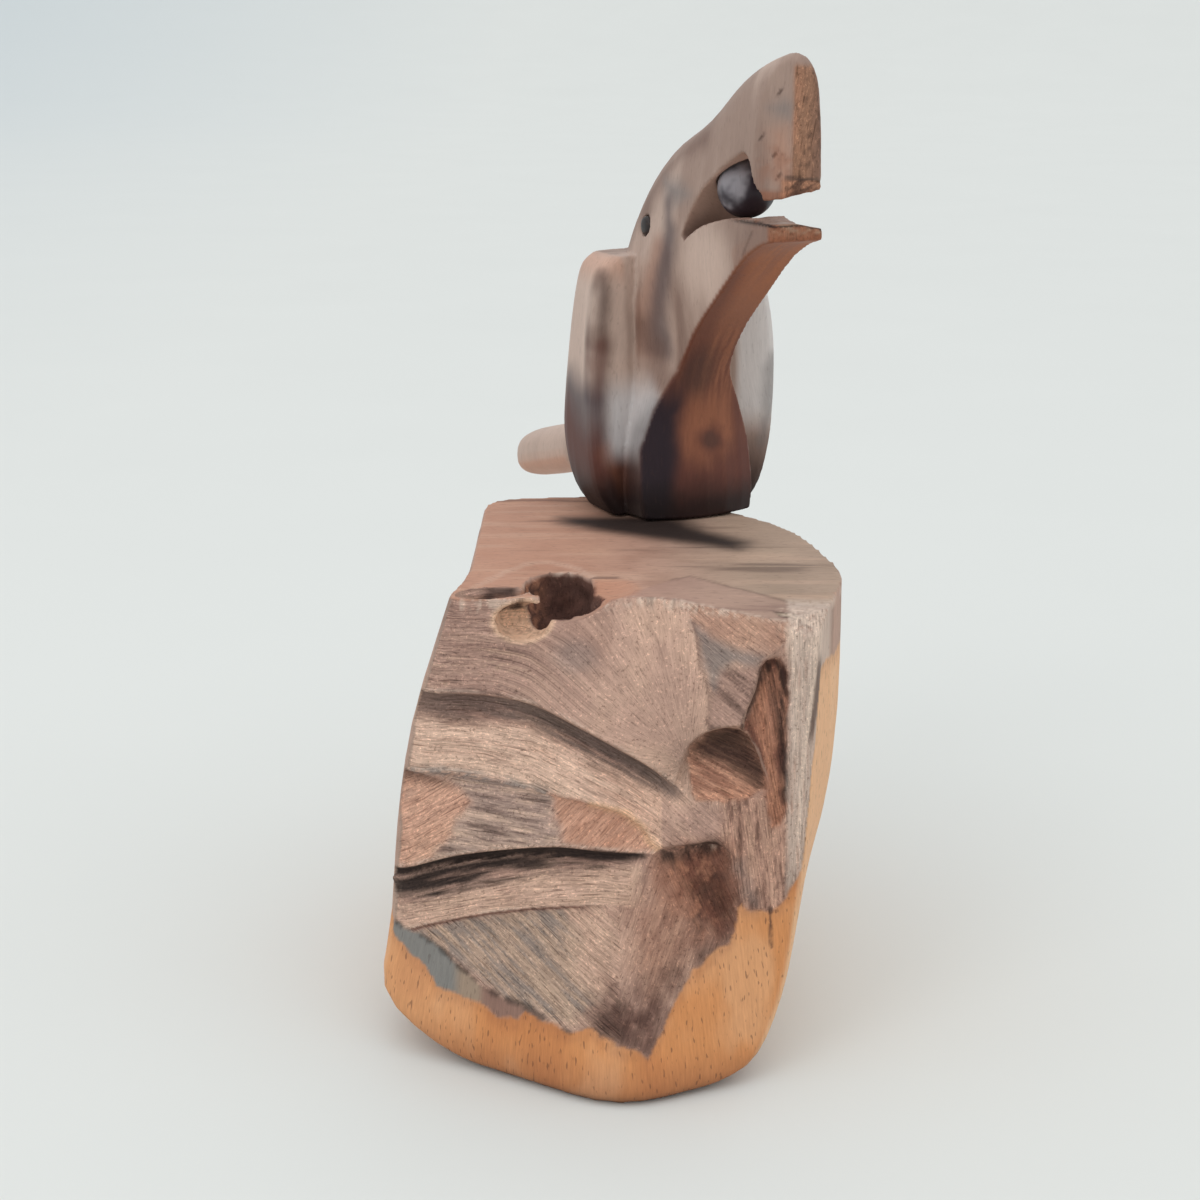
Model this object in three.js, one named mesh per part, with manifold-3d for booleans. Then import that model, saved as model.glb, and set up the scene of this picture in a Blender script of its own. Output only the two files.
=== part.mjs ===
import * as THREE from 'three';
import { mergeVertices } from 'three/addons/utils/BufferGeometryUtils.js';
import Module from 'manifold-3d';

// Toucan carved from one piece of hardwood, doweled onto a hewn block of log.
// A loose wooden ball is trapped between the bird's jaws.
// Millimetres, +Z up. The block's hewn front looks toward -Y, and the origin is
// on the flat that the block rests on.

const wasm = await Module();
wasm.setup();

// Log block
const BLOCK_HEIGHT = 70;
// Furthest reach of the block from the origin to each side
const BLOCK_RIGHT = 38;
const BLOCK_LEFT = 33.5;
const BLOCK_FRONT = 42.2;
const BLOCK_BACK = 51;
// Plan outlines from the resting flat up to the top. Each one runs from the front
// nose round by the right side, the back and the left side. Its corners are set in
// from the right or left reach and from the front or back reach.
const CORNER_SIDES = ['right', 'right', 'right', 'right', 'right', 'left', 'left', 'left'];
const CORNER_ENDS = ['front', 'front', 'front', 'back', 'back', 'back', 'front', 'front'];
const BLOCK_OUTLINES = [
  {
    z: 0,
    insets: [[35.3, 0.2], [23, 6.7], [26, 37.2], [29, 31], [34, 15], [19.5, 14], [15.5, 52.2], [15.5, 13.2]],
  },
  {
    z: 3,
    insets: [[35, 0], [15.5, 8.2], [20, 37.2], [24, 30], [31, 12], [15.5, 11], [8.5, 52.2], [7, 16.2]],
  },
  {
    z: 9,
    insets: [[35, 2.6], [11.8, 10.2], [14, 37.2], [19, 29], [29, 9], [12.5, 8], [3.5, 52.2], [0, 20.2]],
  },
  {
    z: 20,
    insets: [[35, 6.6], [9.4, 12.2], [7.5, 37.2], [13, 28], [27, 5], [10.5, 6], [2.5, 52.2], [1.3, 22.7]],
  },
  {
    z: 34,
    insets: [[35, 10.8], [8.2, 14.2], [2, 37.2], [7, 27], [26, 2], [9.5, 4.5], [3.5, 51.2], [2.5, 23.7]],
  },
  {
    z: 50,
    insets: [[35, 15.4], [7.4, 16.2], [0, 37.2], [5, 26.5], [26, 1], [11.5, 4], [6.9, 46.2], [4.9, 24.2]],
  },
  {
    z: BLOCK_HEIGHT,
    insets: [[31.5, 26.4], [6.8, 17.7], [0, 37.2], [5.5, 26], [26, 0], [13.5, 4], [13.5, 37.2], [10.7, 23.9]],
  },
];
// How far each corner's rounding runs back along its edges
const BLOCK_ROUNDING = [8, 3, 9, 10, 10, 7, 7, 4];
// Shallow bevel along the right half of the top front edge, and the chamfer where it
// ends at the right corner: each plane's place on the front, in from the right reach
// and as a drop below the top, and the way that it faces
const RIM_BEVEL = { inset: 20, drop: 0.9, facing: [0.03, -0.2, 0.98] };
const CORNER_CHAMFER = { inset: 9.4, drop: 3.2, facing: [0.3, -0.55, 0.78] };

// Gouge cuts that leave a ledge across the hewn front. Each ridge point is [x, drop
// below the top, depth of the cut under it]. The cut comes out to the face again at
// the end of its run, which goes straight down or is turned to the right.
const LEDGES = [
  {
    ridge: [
      [-32, 15, 1.6], [-27, 14.4, 1.8], [-17, 13.9, 2], [-10, 14.8, 2.6],
      [-4, 17.1, 3], [3, 20.2, 3], [8, 22.9, 2.2], [13, 27.4, 0.1],
    ],
    run: 9.5,
    turned: 0,
  },
  {
    ridge: [
      [-33, 27.4, 1.6], [-24, 26, 1.4], [-18, 26.1, 0.9], [-8, 27.2, 0.9],
      [-1, 28, 1.1], [4, 29.4, 1.2], [8.5, 34, 0.1],
    ],
    run: 9,
    turned: 0,
  },
  {
    ridge: [
      [-34, 43.6, 1.4], [-28, 41, 1.6], [-22, 38.5, 2], [-14.6, 36.4, 2.4],
      [-6, 34.7, 2.6], [0, 34.6, 1.8], [8, 34.8, 0.1],
    ],
    run: 8,
    turned: 0,
  },
  {
    ridge: [[6.5, 36, 0.1], [9.5, 33.7, 1.4], [13, 33.4, 2], [17, 33.2, 2.2], [20.6, 37, 0.1]],
    run: 13,
    turned: 0,
  },
  {
    ridge: [[-28, 50.4, 0.1], [-15.6, 45.9, 0.8], [-9.6, 44.3, 0.8], [1, 42.2, 0.1]],
    run: 9,
    turned: 0,
  },
  {
    ridge: [
      [10.4, 27, 0.1], [11.8, 22, 1.2], [13, 19.2, 2.2], [15.4, 17.5, 3],
      [20.2, 16.9, 3.6], [22.6, 19.6, 2.6], [24.4, 24.5, 0.1],
    ],
    run: 12,
    turned: 0,
  },
  {
    ridge: [[21.2, 20, 0.6], [20.8, 16, 2], [22.5, 11.4, 2], [23.2, 8.4, 1.6], [26.4, 5.2, 0.1]],
    run: 6,
    turned: 90,
  },
];
// Hollows in the block's top near its front edge: middle as [x, in from the front
// reach, height over the top], half sizes and turn in plan
const TOP_HOLLOWS = [
  { at: [-6.2, 33, -2.2], half: [5.4, 7.6, 8.4], turned: 0 },
  { at: [-2.6, 28.8, -1], half: [3.2, 3, 4.4], turned: 0 },
  { at: [-11.4, 25.2, -3.4], half: [4, 3.6, 2.8], turned: 0 },
  { at: [-9, 22.9, 4], half: [14, 3.6, 8], turned: 20 },
  { at: [-16, 28.6, 0], half: [5.6, 3.4, 2], turned: 21 },
  { at: [1.4, 30.6, 4.6], half: [6.6, 8, 6], turned: 0 },
];

// Where the bird stands on the block's top, in from the right and back reaches, and
// how far its beak turns to the right
const PERCH_INSET = [25, 9];
const BIRD_TURN = 27;
// Glue line between the bird's foot and the block
const GLUE_GAP = 0.3;

// Trunk from the foot up through the breast, bent forward into throat, head and beak.
// Each station has a front point and a back point as [forward, up], half thicknesses
// at the front facet, on the flank and near the back, and how far the middle of the
// front facet swells forward.
const TRUNK_STATIONS = [
  { front: [8.4, GLUE_GAP], back: [-10, GLUE_GAP], half: [10.2, 11.4, 6.8], swell: 2.4 },
  { front: [8, 5], back: [-13, 7], half: [10.8, 11.8, 7.2], swell: 3 },
  { front: [7, 12], back: [-14.5, 18], half: [10.4, 11.4, 7], swell: 3.2 },
  { front: [7.6, 19], back: [-13.5, 31], half: [8, 10.6, 6.6], swell: 1.6 },
  { front: [10, 25.6], back: [-10.2, 44], half: [4.9, 9.4, 6], swell: 0.3 },
  { front: [15, 32.8], back: [-6.4, 52.8], half: [4.7, 7.6, 5.2], swell: 0 },
  { front: [22, 39.4], back: [2.2, 61], half: [4.7, 6.3, 4.6], swell: 0 },
  { front: [28.6, 45.2], back: [14, 66.6], half: [4.7, 5.4, 4.1], swell: 0 },
  { front: [33.2, 47.9], back: [23.6, 72.8], half: [4.7, 5, 3.9], swell: 0 },
  { front: [36, 48.8], back: [31.5, 76], half: [4.7, 4.8, 3.8], swell: 0 },
  { front: [37.1, 49], back: [36.4, 76.7], half: [4.6, 4.2, 3.3], swell: 0 },
  { front: [37.7, 49.4], back: [38.4, 74.6], half: [4.3, 3.2, 2.4], swell: 0 },
];

// Folded wings and back: level sections from the foot to the shoulders, as half
// outlines of [forward, out]: wing root inside the trunk, wing's front corner, side,
// rear corner and the back
const WING_SECTIONS = [
  { up: GLUE_GAP, half: [[0, 6], [4.8, 13.6], [-7, 13], [-14, 11.4], [-16.4, 4]] },
  { up: 4.5, half: [[0.5, 6], [4.8, 16.4], [-7, 15.2], [-17, 13.8], [-20.6, 4.4]] },
  { up: 12, half: [[1, 6], [5, 18], [-7, 16.3], [-18.5, 15.2], [-23, 4.6]] },
  { up: 20, half: [[1, 6], [5.2, 18.4], [-7, 16.4], [-18, 15], [-21.6, 4.6]] },
  { up: 28, half: [[1, 6], [5, 18.4], [-7, 16], [-16.8, 14.6], [-18.6, 4.6]] },
  { up: 36, half: [[0.6, 6], [4, 17.6], [-7, 15.4], [-14.8, 14], [-15.6, 4.6]] },
  { up: 41.6, half: [[0, 6], [2.6, 15.8], [-7, 14.4], [-12.8, 12.8], [-13, 4.4]] },
  { up: 43.7, half: [[-1, 5.6], [1, 13], [-7, 12.2], [-11.6, 10.8], [-11.8, 4]] },
];
const WING_CORNER_ROUND = 4;
// Underside behind the foot, rising toward the tail
const FOOT_BACK = -7;
const UNDERSIDE_RISE = 27;

// Tail paddle
const TAIL_TIP = [-56, -1];
const TAIL_ROOT = [-12, 10];
const TAIL_HALF_WIDTH = 7.6;
const TAIL_HALF_THICKNESS = 4.8;
const TAIL_END_ROUND = 9;

// Mouth: palate from the corner of the mouth to the hook of the upper jaw, and the
// lower jaw's edge back again, as [forward, up]
const PALATE = [
  [12.2, 46.6], [13.6, 50.2], [17, 55], [22.4, 58.9], [26.4, 61],
  [29.3, 62], [31.1, 60.2], [31.9, 57.8], [33.4, 55.4],
];
const JAW_EDGE = [[33.4, 52.6], [30.5, 52.4], [23.3, 51.4], [17.6, 49.9], [14.4, 48.2]];
// Slot between the jaw tips. From its start to the place where it is fully open it
// flares wider toward the bird's left side.
const JAW_SLOT_START = 26;
const JAW_SLOT_OPEN = 33;
const JAW_SLOT_FLOOR = 51.7;
const JAW_SLOT_HEIGHT = 4;
const JAW_SLOT_FLARE = 11;
// Bevel under the tip of the upper jaw: a point as [forward, up] and its lean
const HOOK_BEVEL = { at: [38.5, 59], lean: 34 };
// Taper on the right side of the upper jaw's tip: a point as [forward, left] and its
// angle to the side
const BEAK_TAPER = { at: [38.4, -0.5], angle: 35 };

// Ball trapped in the beak, and the short way it can roll toward the hook
const BALL_DIAMETER = 9.4;
const BALL_REST = [22.3, 56];
const BALL_TRAVEL = 2.4;
const BALL_CLIMB = 9;
const BALL_CLEARANCE = 0.3;

// Eye pegs
const EYE_AT = [0.6, 48.6];
const EYE_DIAMETER = 3.2;
const EYE_LENGTH = 3;
const EYE_FACE = 6.9;
const EYE_CLEARANCE = 0.15;

// Dowels between bird and block
const DOWEL_DIAMETER = 4;
const DOWEL_IN_BIRD = 9;
const DOWEL_IN_BLOCK = 11;
const DOWEL_CLEARANCE = 0.2;
const DOWEL_FRONT = 6;
const DOWEL_REAR = -2.5;

function solidOf(geometry) {
  const bare = new THREE.BufferGeometry();
  bare.setAttribute('position', geometry.getAttribute('position').clone());
  if (geometry.index) {
    bare.setIndex(geometry.index.clone());
  }
  const merged = mergeVertices(bare, 1e-4);
  const corners = merged.index.array;
  const triangles = [];
  for (let i = 0; i < corners.length; i += 3) {
    const [a, b, c] = [corners[i], corners[i + 1], corners[i + 2]];
    if (a !== b && b !== c && c !== a) {
      triangles.push(a, b, c);
    }
  }
  const mesh = new wasm.Mesh({
    numProp: 3,
    vertProperties: new Float32Array(merged.getAttribute('position').array),
    triVerts: new Uint32Array(triangles),
  });
  return new wasm.Manifold(mesh);
}

function geometryOf(solid) {
  const mesh = solid.getMesh();
  const geometry = new THREE.BufferGeometry();
  geometry.setAttribute('position', new THREE.BufferAttribute(mesh.vertProperties, 3));
  geometry.setIndex(new THREE.BufferAttribute(mesh.triVerts, 1));
  return geometry;
}

// Closed skin through rings of equal count, closed at both ends by a fan. The rings
// run anticlockwise as seen looking back from the last one.
function loft(rings) {
  const count = rings[0].length;
  const positions = rings.flat().flatMap((p) => [p.x, p.y, p.z]);
  const index = [];
  for (let i = 0; i + 1 < rings.length; i += 1) {
    for (let j = 0; j < count; j += 1) {
      const a = i * count + j;
      const b = i * count + ((j + 1) % count);
      index.push(a, b, b + count, a, b + count, a + count);
    }
  }
  const ends = [rings[0], rings[rings.length - 1]];
  ends.forEach((ring, end) => {
    const middle = ring.reduce((sum, p) => sum.add(p), new THREE.Vector3()).divideScalar(count);
    const hub = positions.length / 3;
    positions.push(middle.x, middle.y, middle.z);
    const start = end * (rings.length - 1) * count;
    for (let j = 0; j < count; j += 1) {
      const a = start + j;
      const b = start + ((j + 1) % count);
      index.push(hub, end ? a : b, end ? b : a);
    }
  });
  const geometry = new THREE.BufferGeometry();
  geometry.setAttribute('position', new THREE.Float32BufferAttribute(positions, 3));
  geometry.setIndex(index);
  return geometry;
}

// Smooth blend of equal-length number lists, given at even steps
function blend(lists, t) {
  const span = lists.length - 1;
  const k = Math.min(Math.floor(t * span), span - 1);
  const f = t * span - k;
  const at = (i) => lists[Math.min(Math.max(i, 0), span)];
  return lists[0].map((unused, n) => {
    const [p, q, r, s] = [at(k - 1)[n], at(k)[n], at(k + 1)[n], at(k + 2)[n]];
    const slopeQ = (r - p) / 2;
    const slopeR = (s - q) / 2;
    const rise = r - q;
    return q + f * (slopeQ + f * (3 * rise - 2 * slopeQ - slopeR + f * (slopeQ + slopeR - 2 * rise)));
  });
}

function along(a, b, t) {
  return [a[0] + (b[0] - a[0]) * t, a[1] + (b[1] - a[1]) * t];
}

function apart(a, b) {
  return Math.hypot(b[0] - a[0], b[1] - a[1]);
}

function quadratic(a, b, c, t) {
  return along(along(a, b, t), along(b, c, t), t);
}

// Removes what lies beyond the plane through a point, on the side its normal faces
function hew(solid, point, normal) {
  const reach = 300;
  const slab = new THREE.BoxGeometry(reach, reach, reach);
  slab.translate(0, 0, reach / 2);
  const facing = new THREE.Vector3(...normal).normalize();
  slab.applyQuaternion(new THREE.Quaternion().setFromUnitVectors(new THREE.Vector3(0, 0, 1), facing));
  slab.translate(...point);
  return solid.subtract(solidOf(slab));
}

function cylinder(radius, length) {
  return new THREE.CylinderGeometry(radius, radius, length, 32).rotateX(Math.PI / 2);
}

function material(color, roughness) {
  return new THREE.MeshStandardMaterial({ color, roughness, metalness: 0 });
}

function makeMesh(name, geometry, wood) {
  const mesh = new THREE.Mesh(geometry, wood);
  mesh.name = name;
  return mesh;
}

// Bird frame: x forward along the beak, y to the bird's left, z up from the block's top
const turn = THREE.MathUtils.degToRad(BIRD_TURN);
const toBlock = new THREE.Matrix4().makeBasis(
  new THREE.Vector3(Math.sin(turn), -Math.cos(turn), 0),
  new THREE.Vector3(Math.cos(turn), Math.sin(turn), 0),
  new THREE.Vector3(0, 0, 1),
);
toBlock.setPosition(BLOCK_RIGHT - PERCH_INSET[0], BLOCK_BACK - PERCH_INSET[1], BLOCK_HEIGHT);

// Log block before carving
function blockRing(numbers) {
  const z = numbers[0];
  const corners = BLOCK_ROUNDING.map((unused, i) => [numbers[1 + 2 * i], numbers[2 + 2 * i]]);
  const ring = [];
  corners.forEach((corner, i) => {
    const before = corners[(i + corners.length - 1) % corners.length];
    const after = corners[(i + 1) % corners.length];
    const start = along(corner, before, BLOCK_ROUNDING[i] / apart(corner, before));
    const stop = along(corner, after, BLOCK_ROUNDING[i] / apart(corner, after));
    for (let s = 0; s <= 4; s += 1) {
      ring.push(quadratic(start, corner, stop, s / 4));
    }
    const next = along(after, corner, BLOCK_ROUNDING[(i + 1) % corners.length] / apart(corner, after));
    for (let s = 1; s <= 2; s += 1) {
      ring.push(along(stop, next, s / 3));
    }
  });
  return ring.map(([x, y]) => new THREE.Vector3(x, y, z));
}

function cornerAt([fromSide, fromEnd], i) {
  const x = CORNER_SIDES[i] === 'right' ? BLOCK_RIGHT - fromSide : fromSide - BLOCK_LEFT;
  const y = CORNER_ENDS[i] === 'back' ? BLOCK_BACK - fromEnd : fromEnd - BLOCK_FRONT;
  return [x, y];
}

const blockLists = BLOCK_OUTLINES.map(({ z, insets }) => [z, ...insets.map(cornerAt).flat()]);
const BLOCK_LEVELS = 18;
const blockRings = [];
for (let i = 0; i <= BLOCK_LEVELS; i += 1) {
  blockRings.push(blockRing(blend(blockLists, i / BLOCK_LEVELS)));
}
const blank = makeMesh('blank', loft(blockRings), new THREE.MeshStandardMaterial());

// Point on the uncarved front at x and a drop below the top. Past the block's side
// it carries on level from the last point of the front.
function frontAt(x, drop) {
  const z = Math.max(BLOCK_HEIGHT - drop, 1);
  const inward = new THREE.Vector3(0, 1, 0);
  let aim = x;
  let hits = [];
  while (hits.length === 0) {
    hits = new THREE.Raycaster(new THREE.Vector3(aim, -2 * BLOCK_FRONT, z), inward).intersectObject(blank);
    aim *= 0.98;
  }
  return hits[0].point.setX(x);
}

const outward = new THREE.Vector3(0, -0.96, 0.28).normalize();

// Hollow section of a gouge cut as [share of the run, share of the depth]
const GOUGE_SECTION = [[0, 0], [0.03, 0.6], [0.14, 1], [0.34, 0.86], [0.62, 0.42], [1, -0.12]];

function ledgeCut({ ridge, run, turned }) {
  const clear = 6;
  const angle = THREE.MathUtils.degToRad(turned);
  const deepest = Math.max(...ridge.map((p) => p[2]));
  const line = new THREE.CatmullRomCurve3(ridge.map((p) => new THREE.Vector3(...p)));
  const rings = line.getPoints(3 * (ridge.length - 1)).map(({ x, y: drop, z: depth }) => {
    const reach = run * (0.25 + (0.75 * depth) / deepest);
    const floor = GOUGE_SECTION.map(([f, d]) => {
      const on = frontAt(x + f * reach * Math.sin(angle), drop + f * reach * Math.cos(angle));
      return on.addScaledVector(outward, -d * depth);
    });
    const above = [floor[floor.length - 1], floor[0]].map((p) => p.clone().addScaledVector(outward, clear));
    return [...floor, ...above];
  });
  return solidOf(loft(rings.reverse()));
}

function hollowCut({ at, half, turned }) {
  const hollow = new THREE.SphereGeometry(1, 24, 16);
  hollow.scale(...half);
  hollow.rotateZ(THREE.MathUtils.degToRad(turned));
  hollow.translate(at[0], at[1] - BLOCK_FRONT, BLOCK_HEIGHT + at[2]);
  return solidOf(hollow);
}

// Round hole or peg standing on the block's top, from a depth below it to a height above
function upright(forward, radius, below, above) {
  const peg = cylinder(radius, below + above);
  peg.translate(forward, 0, (above - below) / 2);
  return peg.applyMatrix4(toBlock);
}

const dowelPlaces = { dowel_front: DOWEL_FRONT, dowel_rear: DOWEL_REAR };
const dowelBore = DOWEL_DIAMETER / 2 + DOWEL_CLEARANCE;
const dowelHoles = Object.values(dowelPlaces).map((forward) => solidOf(
  upright(forward, dowelBore, DOWEL_IN_BLOCK + DOWEL_CLEARANCE, DOWEL_IN_BIRD + DOWEL_CLEARANCE),
));

let block = solidOf(blank.geometry);
for (const { inset, drop, facing } of [RIM_BEVEL, CORNER_CHAMFER]) {
  block = hew(block, frontAt(BLOCK_RIGHT - inset, drop).toArray(), facing);
}
for (const cut of [...LEDGES.map(ledgeCut), ...TOP_HOLLOWS.map(hollowCut), ...dowelHoles]) {
  block = block.subtract(cut);
}

// Half thickness of the trunk at a share t of the way from its front to its back
function thickness(t, front, flank, back) {
  if (t < 0.5) {
    return front + (flank - front) * Math.sin(Math.PI * t) ** 2;
  }
  const rounding = t > 0.8 ? Math.sqrt(1 - ((t - 0.8) / 0.2) ** 2) : 1;
  return rounding * (flank + (back - flank) * Math.sin(Math.PI * (t - 0.5)) ** 2);
}

// Trunk ring: front facet, left flank, rounded back and right flank
const FLANK_STEPS = [0.08, 0.18, 0.3, 0.44, 0.58, 0.7, 0.8, 0.88, 0.94, 0.98];
function trunkRing([fu, fw, bu, bw, front, flank, back, swell]) {
  const length = Math.hypot(bu - fu, bw - fw);
  const place = (t, out) => {
    const [u, w] = along([fu, fw], [bu, bw], t);
    return new THREE.Vector3(u, out, w);
  };
  const facet = (s) => place((-swell * (1 - s * s)) / length, s * front);
  const left = FLANK_STEPS.map((t) => place(t, thickness(t, front, flank, back)));
  const right = FLANK_STEPS.map((t) => place(t, -thickness(t, front, flank, back))).reverse();
  const [facetLeft, facetRight] = [[0, 0.4, 0.75, 1], [-1, -0.75, -0.4]].map((steps) => steps.map(facet));
  return [...facetLeft, ...left, place(1, 0), ...right, ...facetRight];
}

const trunkLists = TRUNK_STATIONS.map(({ front, back, half, swell }) => [...front, ...back, ...half, swell]);
const TRUNK_STEPS = 44;
const trunkRings = [];
for (let i = 0; i <= TRUNK_STEPS; i += 1) {
  trunkRings.push(trunkRing(blend(trunkLists, i / TRUNK_STEPS)));
}

// Wing ring: front, rounded corner, side, rear corner and back on both sides
function wingRing(numbers) {
  const [root, corner, side, rear, back] = [1, 3, 5, 7, 9].map((i) => [numbers[i], numbers[i + 1]]);
  const step = (end) => along(corner, end, WING_CORNER_ROUND / apart(corner, end));
  const spine = [back[0] - 2, 0];
  const half = [
    root,
    ...[0, 0.25, 0.5, 0.75, 1].map((t) => quadratic(step(root), corner, step(side), t)),
    ...[0, 0.16, 0.33, 0.5, 0.67, 0.84].map((t) => quadratic(side, rear, back, t)),
    ...[0, 0.4, 0.7].map((t) => quadratic(back, [spine[0], back[1] / 2], spine, t)),
  ];
  const left = half.map(([u, v]) => new THREE.Vector3(u, v, numbers[0]));
  const right = half.map(([u, v]) => new THREE.Vector3(u, -v, numbers[0])).reverse();
  return [...left, new THREE.Vector3(spine[0], 0, numbers[0]), ...right];
}

const wingLists = WING_SECTIONS.map(({ up, half }) => [up, ...half.flat()]);
const WING_STEPS = 24;
const wingRings = [];
for (let i = 0; i <= WING_STEPS; i += 1) {
  wingRings.push(wingRing(blend(wingLists, i / WING_STEPS)));
}

// Tail paddle from its rounded end to its root in the body
const TAIL_STEPS = 14;
const TAIL_SIDES = 24;
const tailLength = TAIL_ROOT[0] - TAIL_TIP[0];
const squared = (value) => Math.sign(value) * Math.abs(value) ** 0.75;
const tailRings = [];
for (let i = 0; i <= TAIL_STEPS; i += 1) {
  const s = 0.004 + 0.996 * (i / TAIL_STEPS) ** 1.6;
  const [u, w] = along(TAIL_TIP, TAIL_ROOT, s);
  const end = Math.min(1, (s * tailLength) / TAIL_END_ROUND);
  const fullness = Math.sqrt(1 - (1 - end) ** 2);
  const ring = [];
  for (let j = 0; j < TAIL_SIDES; j += 1) {
    const angle = (2 * Math.PI * j) / TAIL_SIDES - Math.PI / 2;
    const across = TAIL_HALF_WIDTH * fullness * squared(Math.cos(angle));
    const rise = TAIL_HALF_THICKNESS * fullness * squared(Math.sin(angle));
    ring.push(new THREE.Vector3(u, across, w + rise));
  }
  tailRings.push(ring);
}

// Mouth opening cut through the beak from side to side
const mouthShape = new THREE.Shape();
mouthShape.moveTo(...PALATE[0]);
mouthShape.splineThru(PALATE.slice(1).map((p) => new THREE.Vector2(...p)));
mouthShape.lineTo(...JAW_EDGE[0]);
mouthShape.splineThru(JAW_EDGE.slice(1).map((p) => new THREE.Vector2(...p)));
mouthShape.closePath();
const MOUTH_REACH = 40;
const mouth = new THREE.ExtrudeGeometry(mouthShape, {
  depth: MOUTH_REACH,
  bevelEnabled: false,
  curveSegments: 3,
});
mouth.translate(0, 0, -MOUTH_REACH / 2);
mouth.rotateX(Math.PI / 2);

// Slot in front of the mouth
function slotRing([forward, flare]) {
  const half = 7;
  const rise = half * Math.tan(THREE.MathUtils.degToRad(flare));
  const roof = JAW_SLOT_FLOOR + JAW_SLOT_HEIGHT;
  return [
    new THREE.Vector3(forward, -half, JAW_SLOT_FLOOR + rise),
    new THREE.Vector3(forward, half, JAW_SLOT_FLOOR - rise),
    new THREE.Vector3(forward, half, roof + rise),
    new THREE.Vector3(forward, -half, roof - rise),
  ];
}

const slotStations = [
  [JAW_SLOT_START, 1],
  [JAW_SLOT_OPEN, JAW_SLOT_FLARE],
  [JAW_SLOT_OPEN + MOUTH_REACH, JAW_SLOT_FLARE],
];
const slot = loft(slotStations.map(slotRing));

// Pocket that the ball rolls in, hollowed wider than the mouth's side openings
const climb = THREE.MathUtils.degToRad(BALL_CLIMB);
const pocket = new THREE.CapsuleGeometry(BALL_DIAMETER / 2 + BALL_CLEARANCE, BALL_TRAVEL, 8, 24);
pocket.rotateZ(-Math.PI / 2);
pocket.translate(BALL_TRAVEL / 2, 0, 0);
pocket.rotateY(-climb);
pocket.translate(BALL_REST[0], 0, BALL_REST[1]);

// Eye peg with a domed face, pointing to the bird's left
const eyeRadius = EYE_DIAMETER / 2;
const EYE_DOME = 0.35;
const eyeProfile = [
  [0, 0],
  [eyeRadius, 0],
  [eyeRadius, EYE_LENGTH - EYE_DOME],
  [0.75 * eyeRadius, EYE_LENGTH - 0.3 * EYE_DOME],
  [0, EYE_LENGTH],
];
function eyePeg(side) {
  const peg = new THREE.LatheGeometry(eyeProfile.map((p) => new THREE.Vector2(...p)), 24);
  if (side < 0) {
    peg.rotateZ(Math.PI);
  }
  return peg.translate(EYE_AT[0], side * (EYE_FACE - EYE_LENGTH), EYE_AT[1]);
}

function eyeHole(side) {
  const reach = EYE_LENGTH + 5;
  const hole = new THREE.CylinderGeometry(eyeRadius + EYE_CLEARANCE, eyeRadius + EYE_CLEARANCE, reach, 24);
  return hole.translate(EYE_AT[0], side * (EYE_FACE - EYE_LENGTH - EYE_CLEARANCE + reach / 2), EYE_AT[1]);
}

const perched = (geometry) => solidOf(geometry.applyMatrix4(toBlock));
const perchedPoint = (...point) => new THREE.Vector3(...point).applyMatrix4(toBlock).toArray();
const perchedFacing = (...facing) => new THREE.Vector3(...facing).transformDirection(toBlock).toArray();

// What the bevel and the taper take off the tip of the upper jaw
const upperTip = new THREE.BoxGeometry(MOUTH_REACH, MOUTH_REACH, MOUTH_REACH);
upperTip.translate(JAW_SLOT_START + MOUTH_REACH / 2, 0, JAW_SLOT_FLOOR + MOUTH_REACH / 2);
const tipBlock = perched(upperTip);
const lean = THREE.MathUtils.degToRad(HOOK_BEVEL.lean);
const taper = THREE.MathUtils.degToRad(BEAK_TAPER.angle);
let tipLeft = tipBlock;
tipLeft = hew(
  tipLeft,
  perchedPoint(HOOK_BEVEL.at[0], 0, HOOK_BEVEL.at[1]),
  perchedFacing(Math.cos(lean), 0, -Math.sin(lean)),
);
tipLeft = hew(
  tipLeft,
  perchedPoint(BEAK_TAPER.at[0], BEAK_TAPER.at[1], 0),
  perchedFacing(Math.sin(taper), -Math.cos(taper), 0),
);
const tipWaste = tipBlock.subtract(tipLeft);

const rise = THREE.MathUtils.degToRad(UNDERSIDE_RISE);
const carved = perched(loft(trunkRings)).add(perched(loft(wingRings)));
const raised = hew(
  carved,
  perchedPoint(FOOT_BACK, 0, GLUE_GAP),
  perchedFacing(-Math.sin(rise), 0, -Math.cos(rise)),
);
let bird = raised.add(perched(loft(tailRings)));
const mouthCut = perched(mouth).add(perched(slot)).add(perched(pocket)).add(tipWaste);
for (const cut of [mouthCut, perched(eyeHole(1)), perched(eyeHole(-1)), ...dowelHoles]) {
  bird = bird.subtract(cut);
}

const ball = new THREE.SphereGeometry(BALL_DIAMETER / 2, 28, 18);
ball.translate(BALL_REST[0], 0, BALL_REST[1]);

const group = new THREE.Group();
group.name = 'toucan_sculpture';
group.add(
  makeMesh('base_block', geometryOf(block), material(0x8a6a5c, 0.62)),
  makeMesh('toucan_body', geometryOf(bird), material(0x7a5f52, 0.38)),
  makeMesh('beak_ball', ball.applyMatrix4(toBlock), material(0x3b3336, 0.35)),
  makeMesh('eye_peg_left', eyePeg(1).applyMatrix4(toBlock), material(0x2a1f1c, 0.4)),
  makeMesh('eye_peg_right', eyePeg(-1).applyMatrix4(toBlock), material(0x2a1f1c, 0.4)),
);
for (const [name, forward] of Object.entries(dowelPlaces)) {
  const dowel = upright(forward, DOWEL_DIAMETER / 2, DOWEL_IN_BLOCK, DOWEL_IN_BIRD);
  group.add(makeMesh(name, dowel, material(0xb08a5e, 0.7)));
}

export default group;
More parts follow.
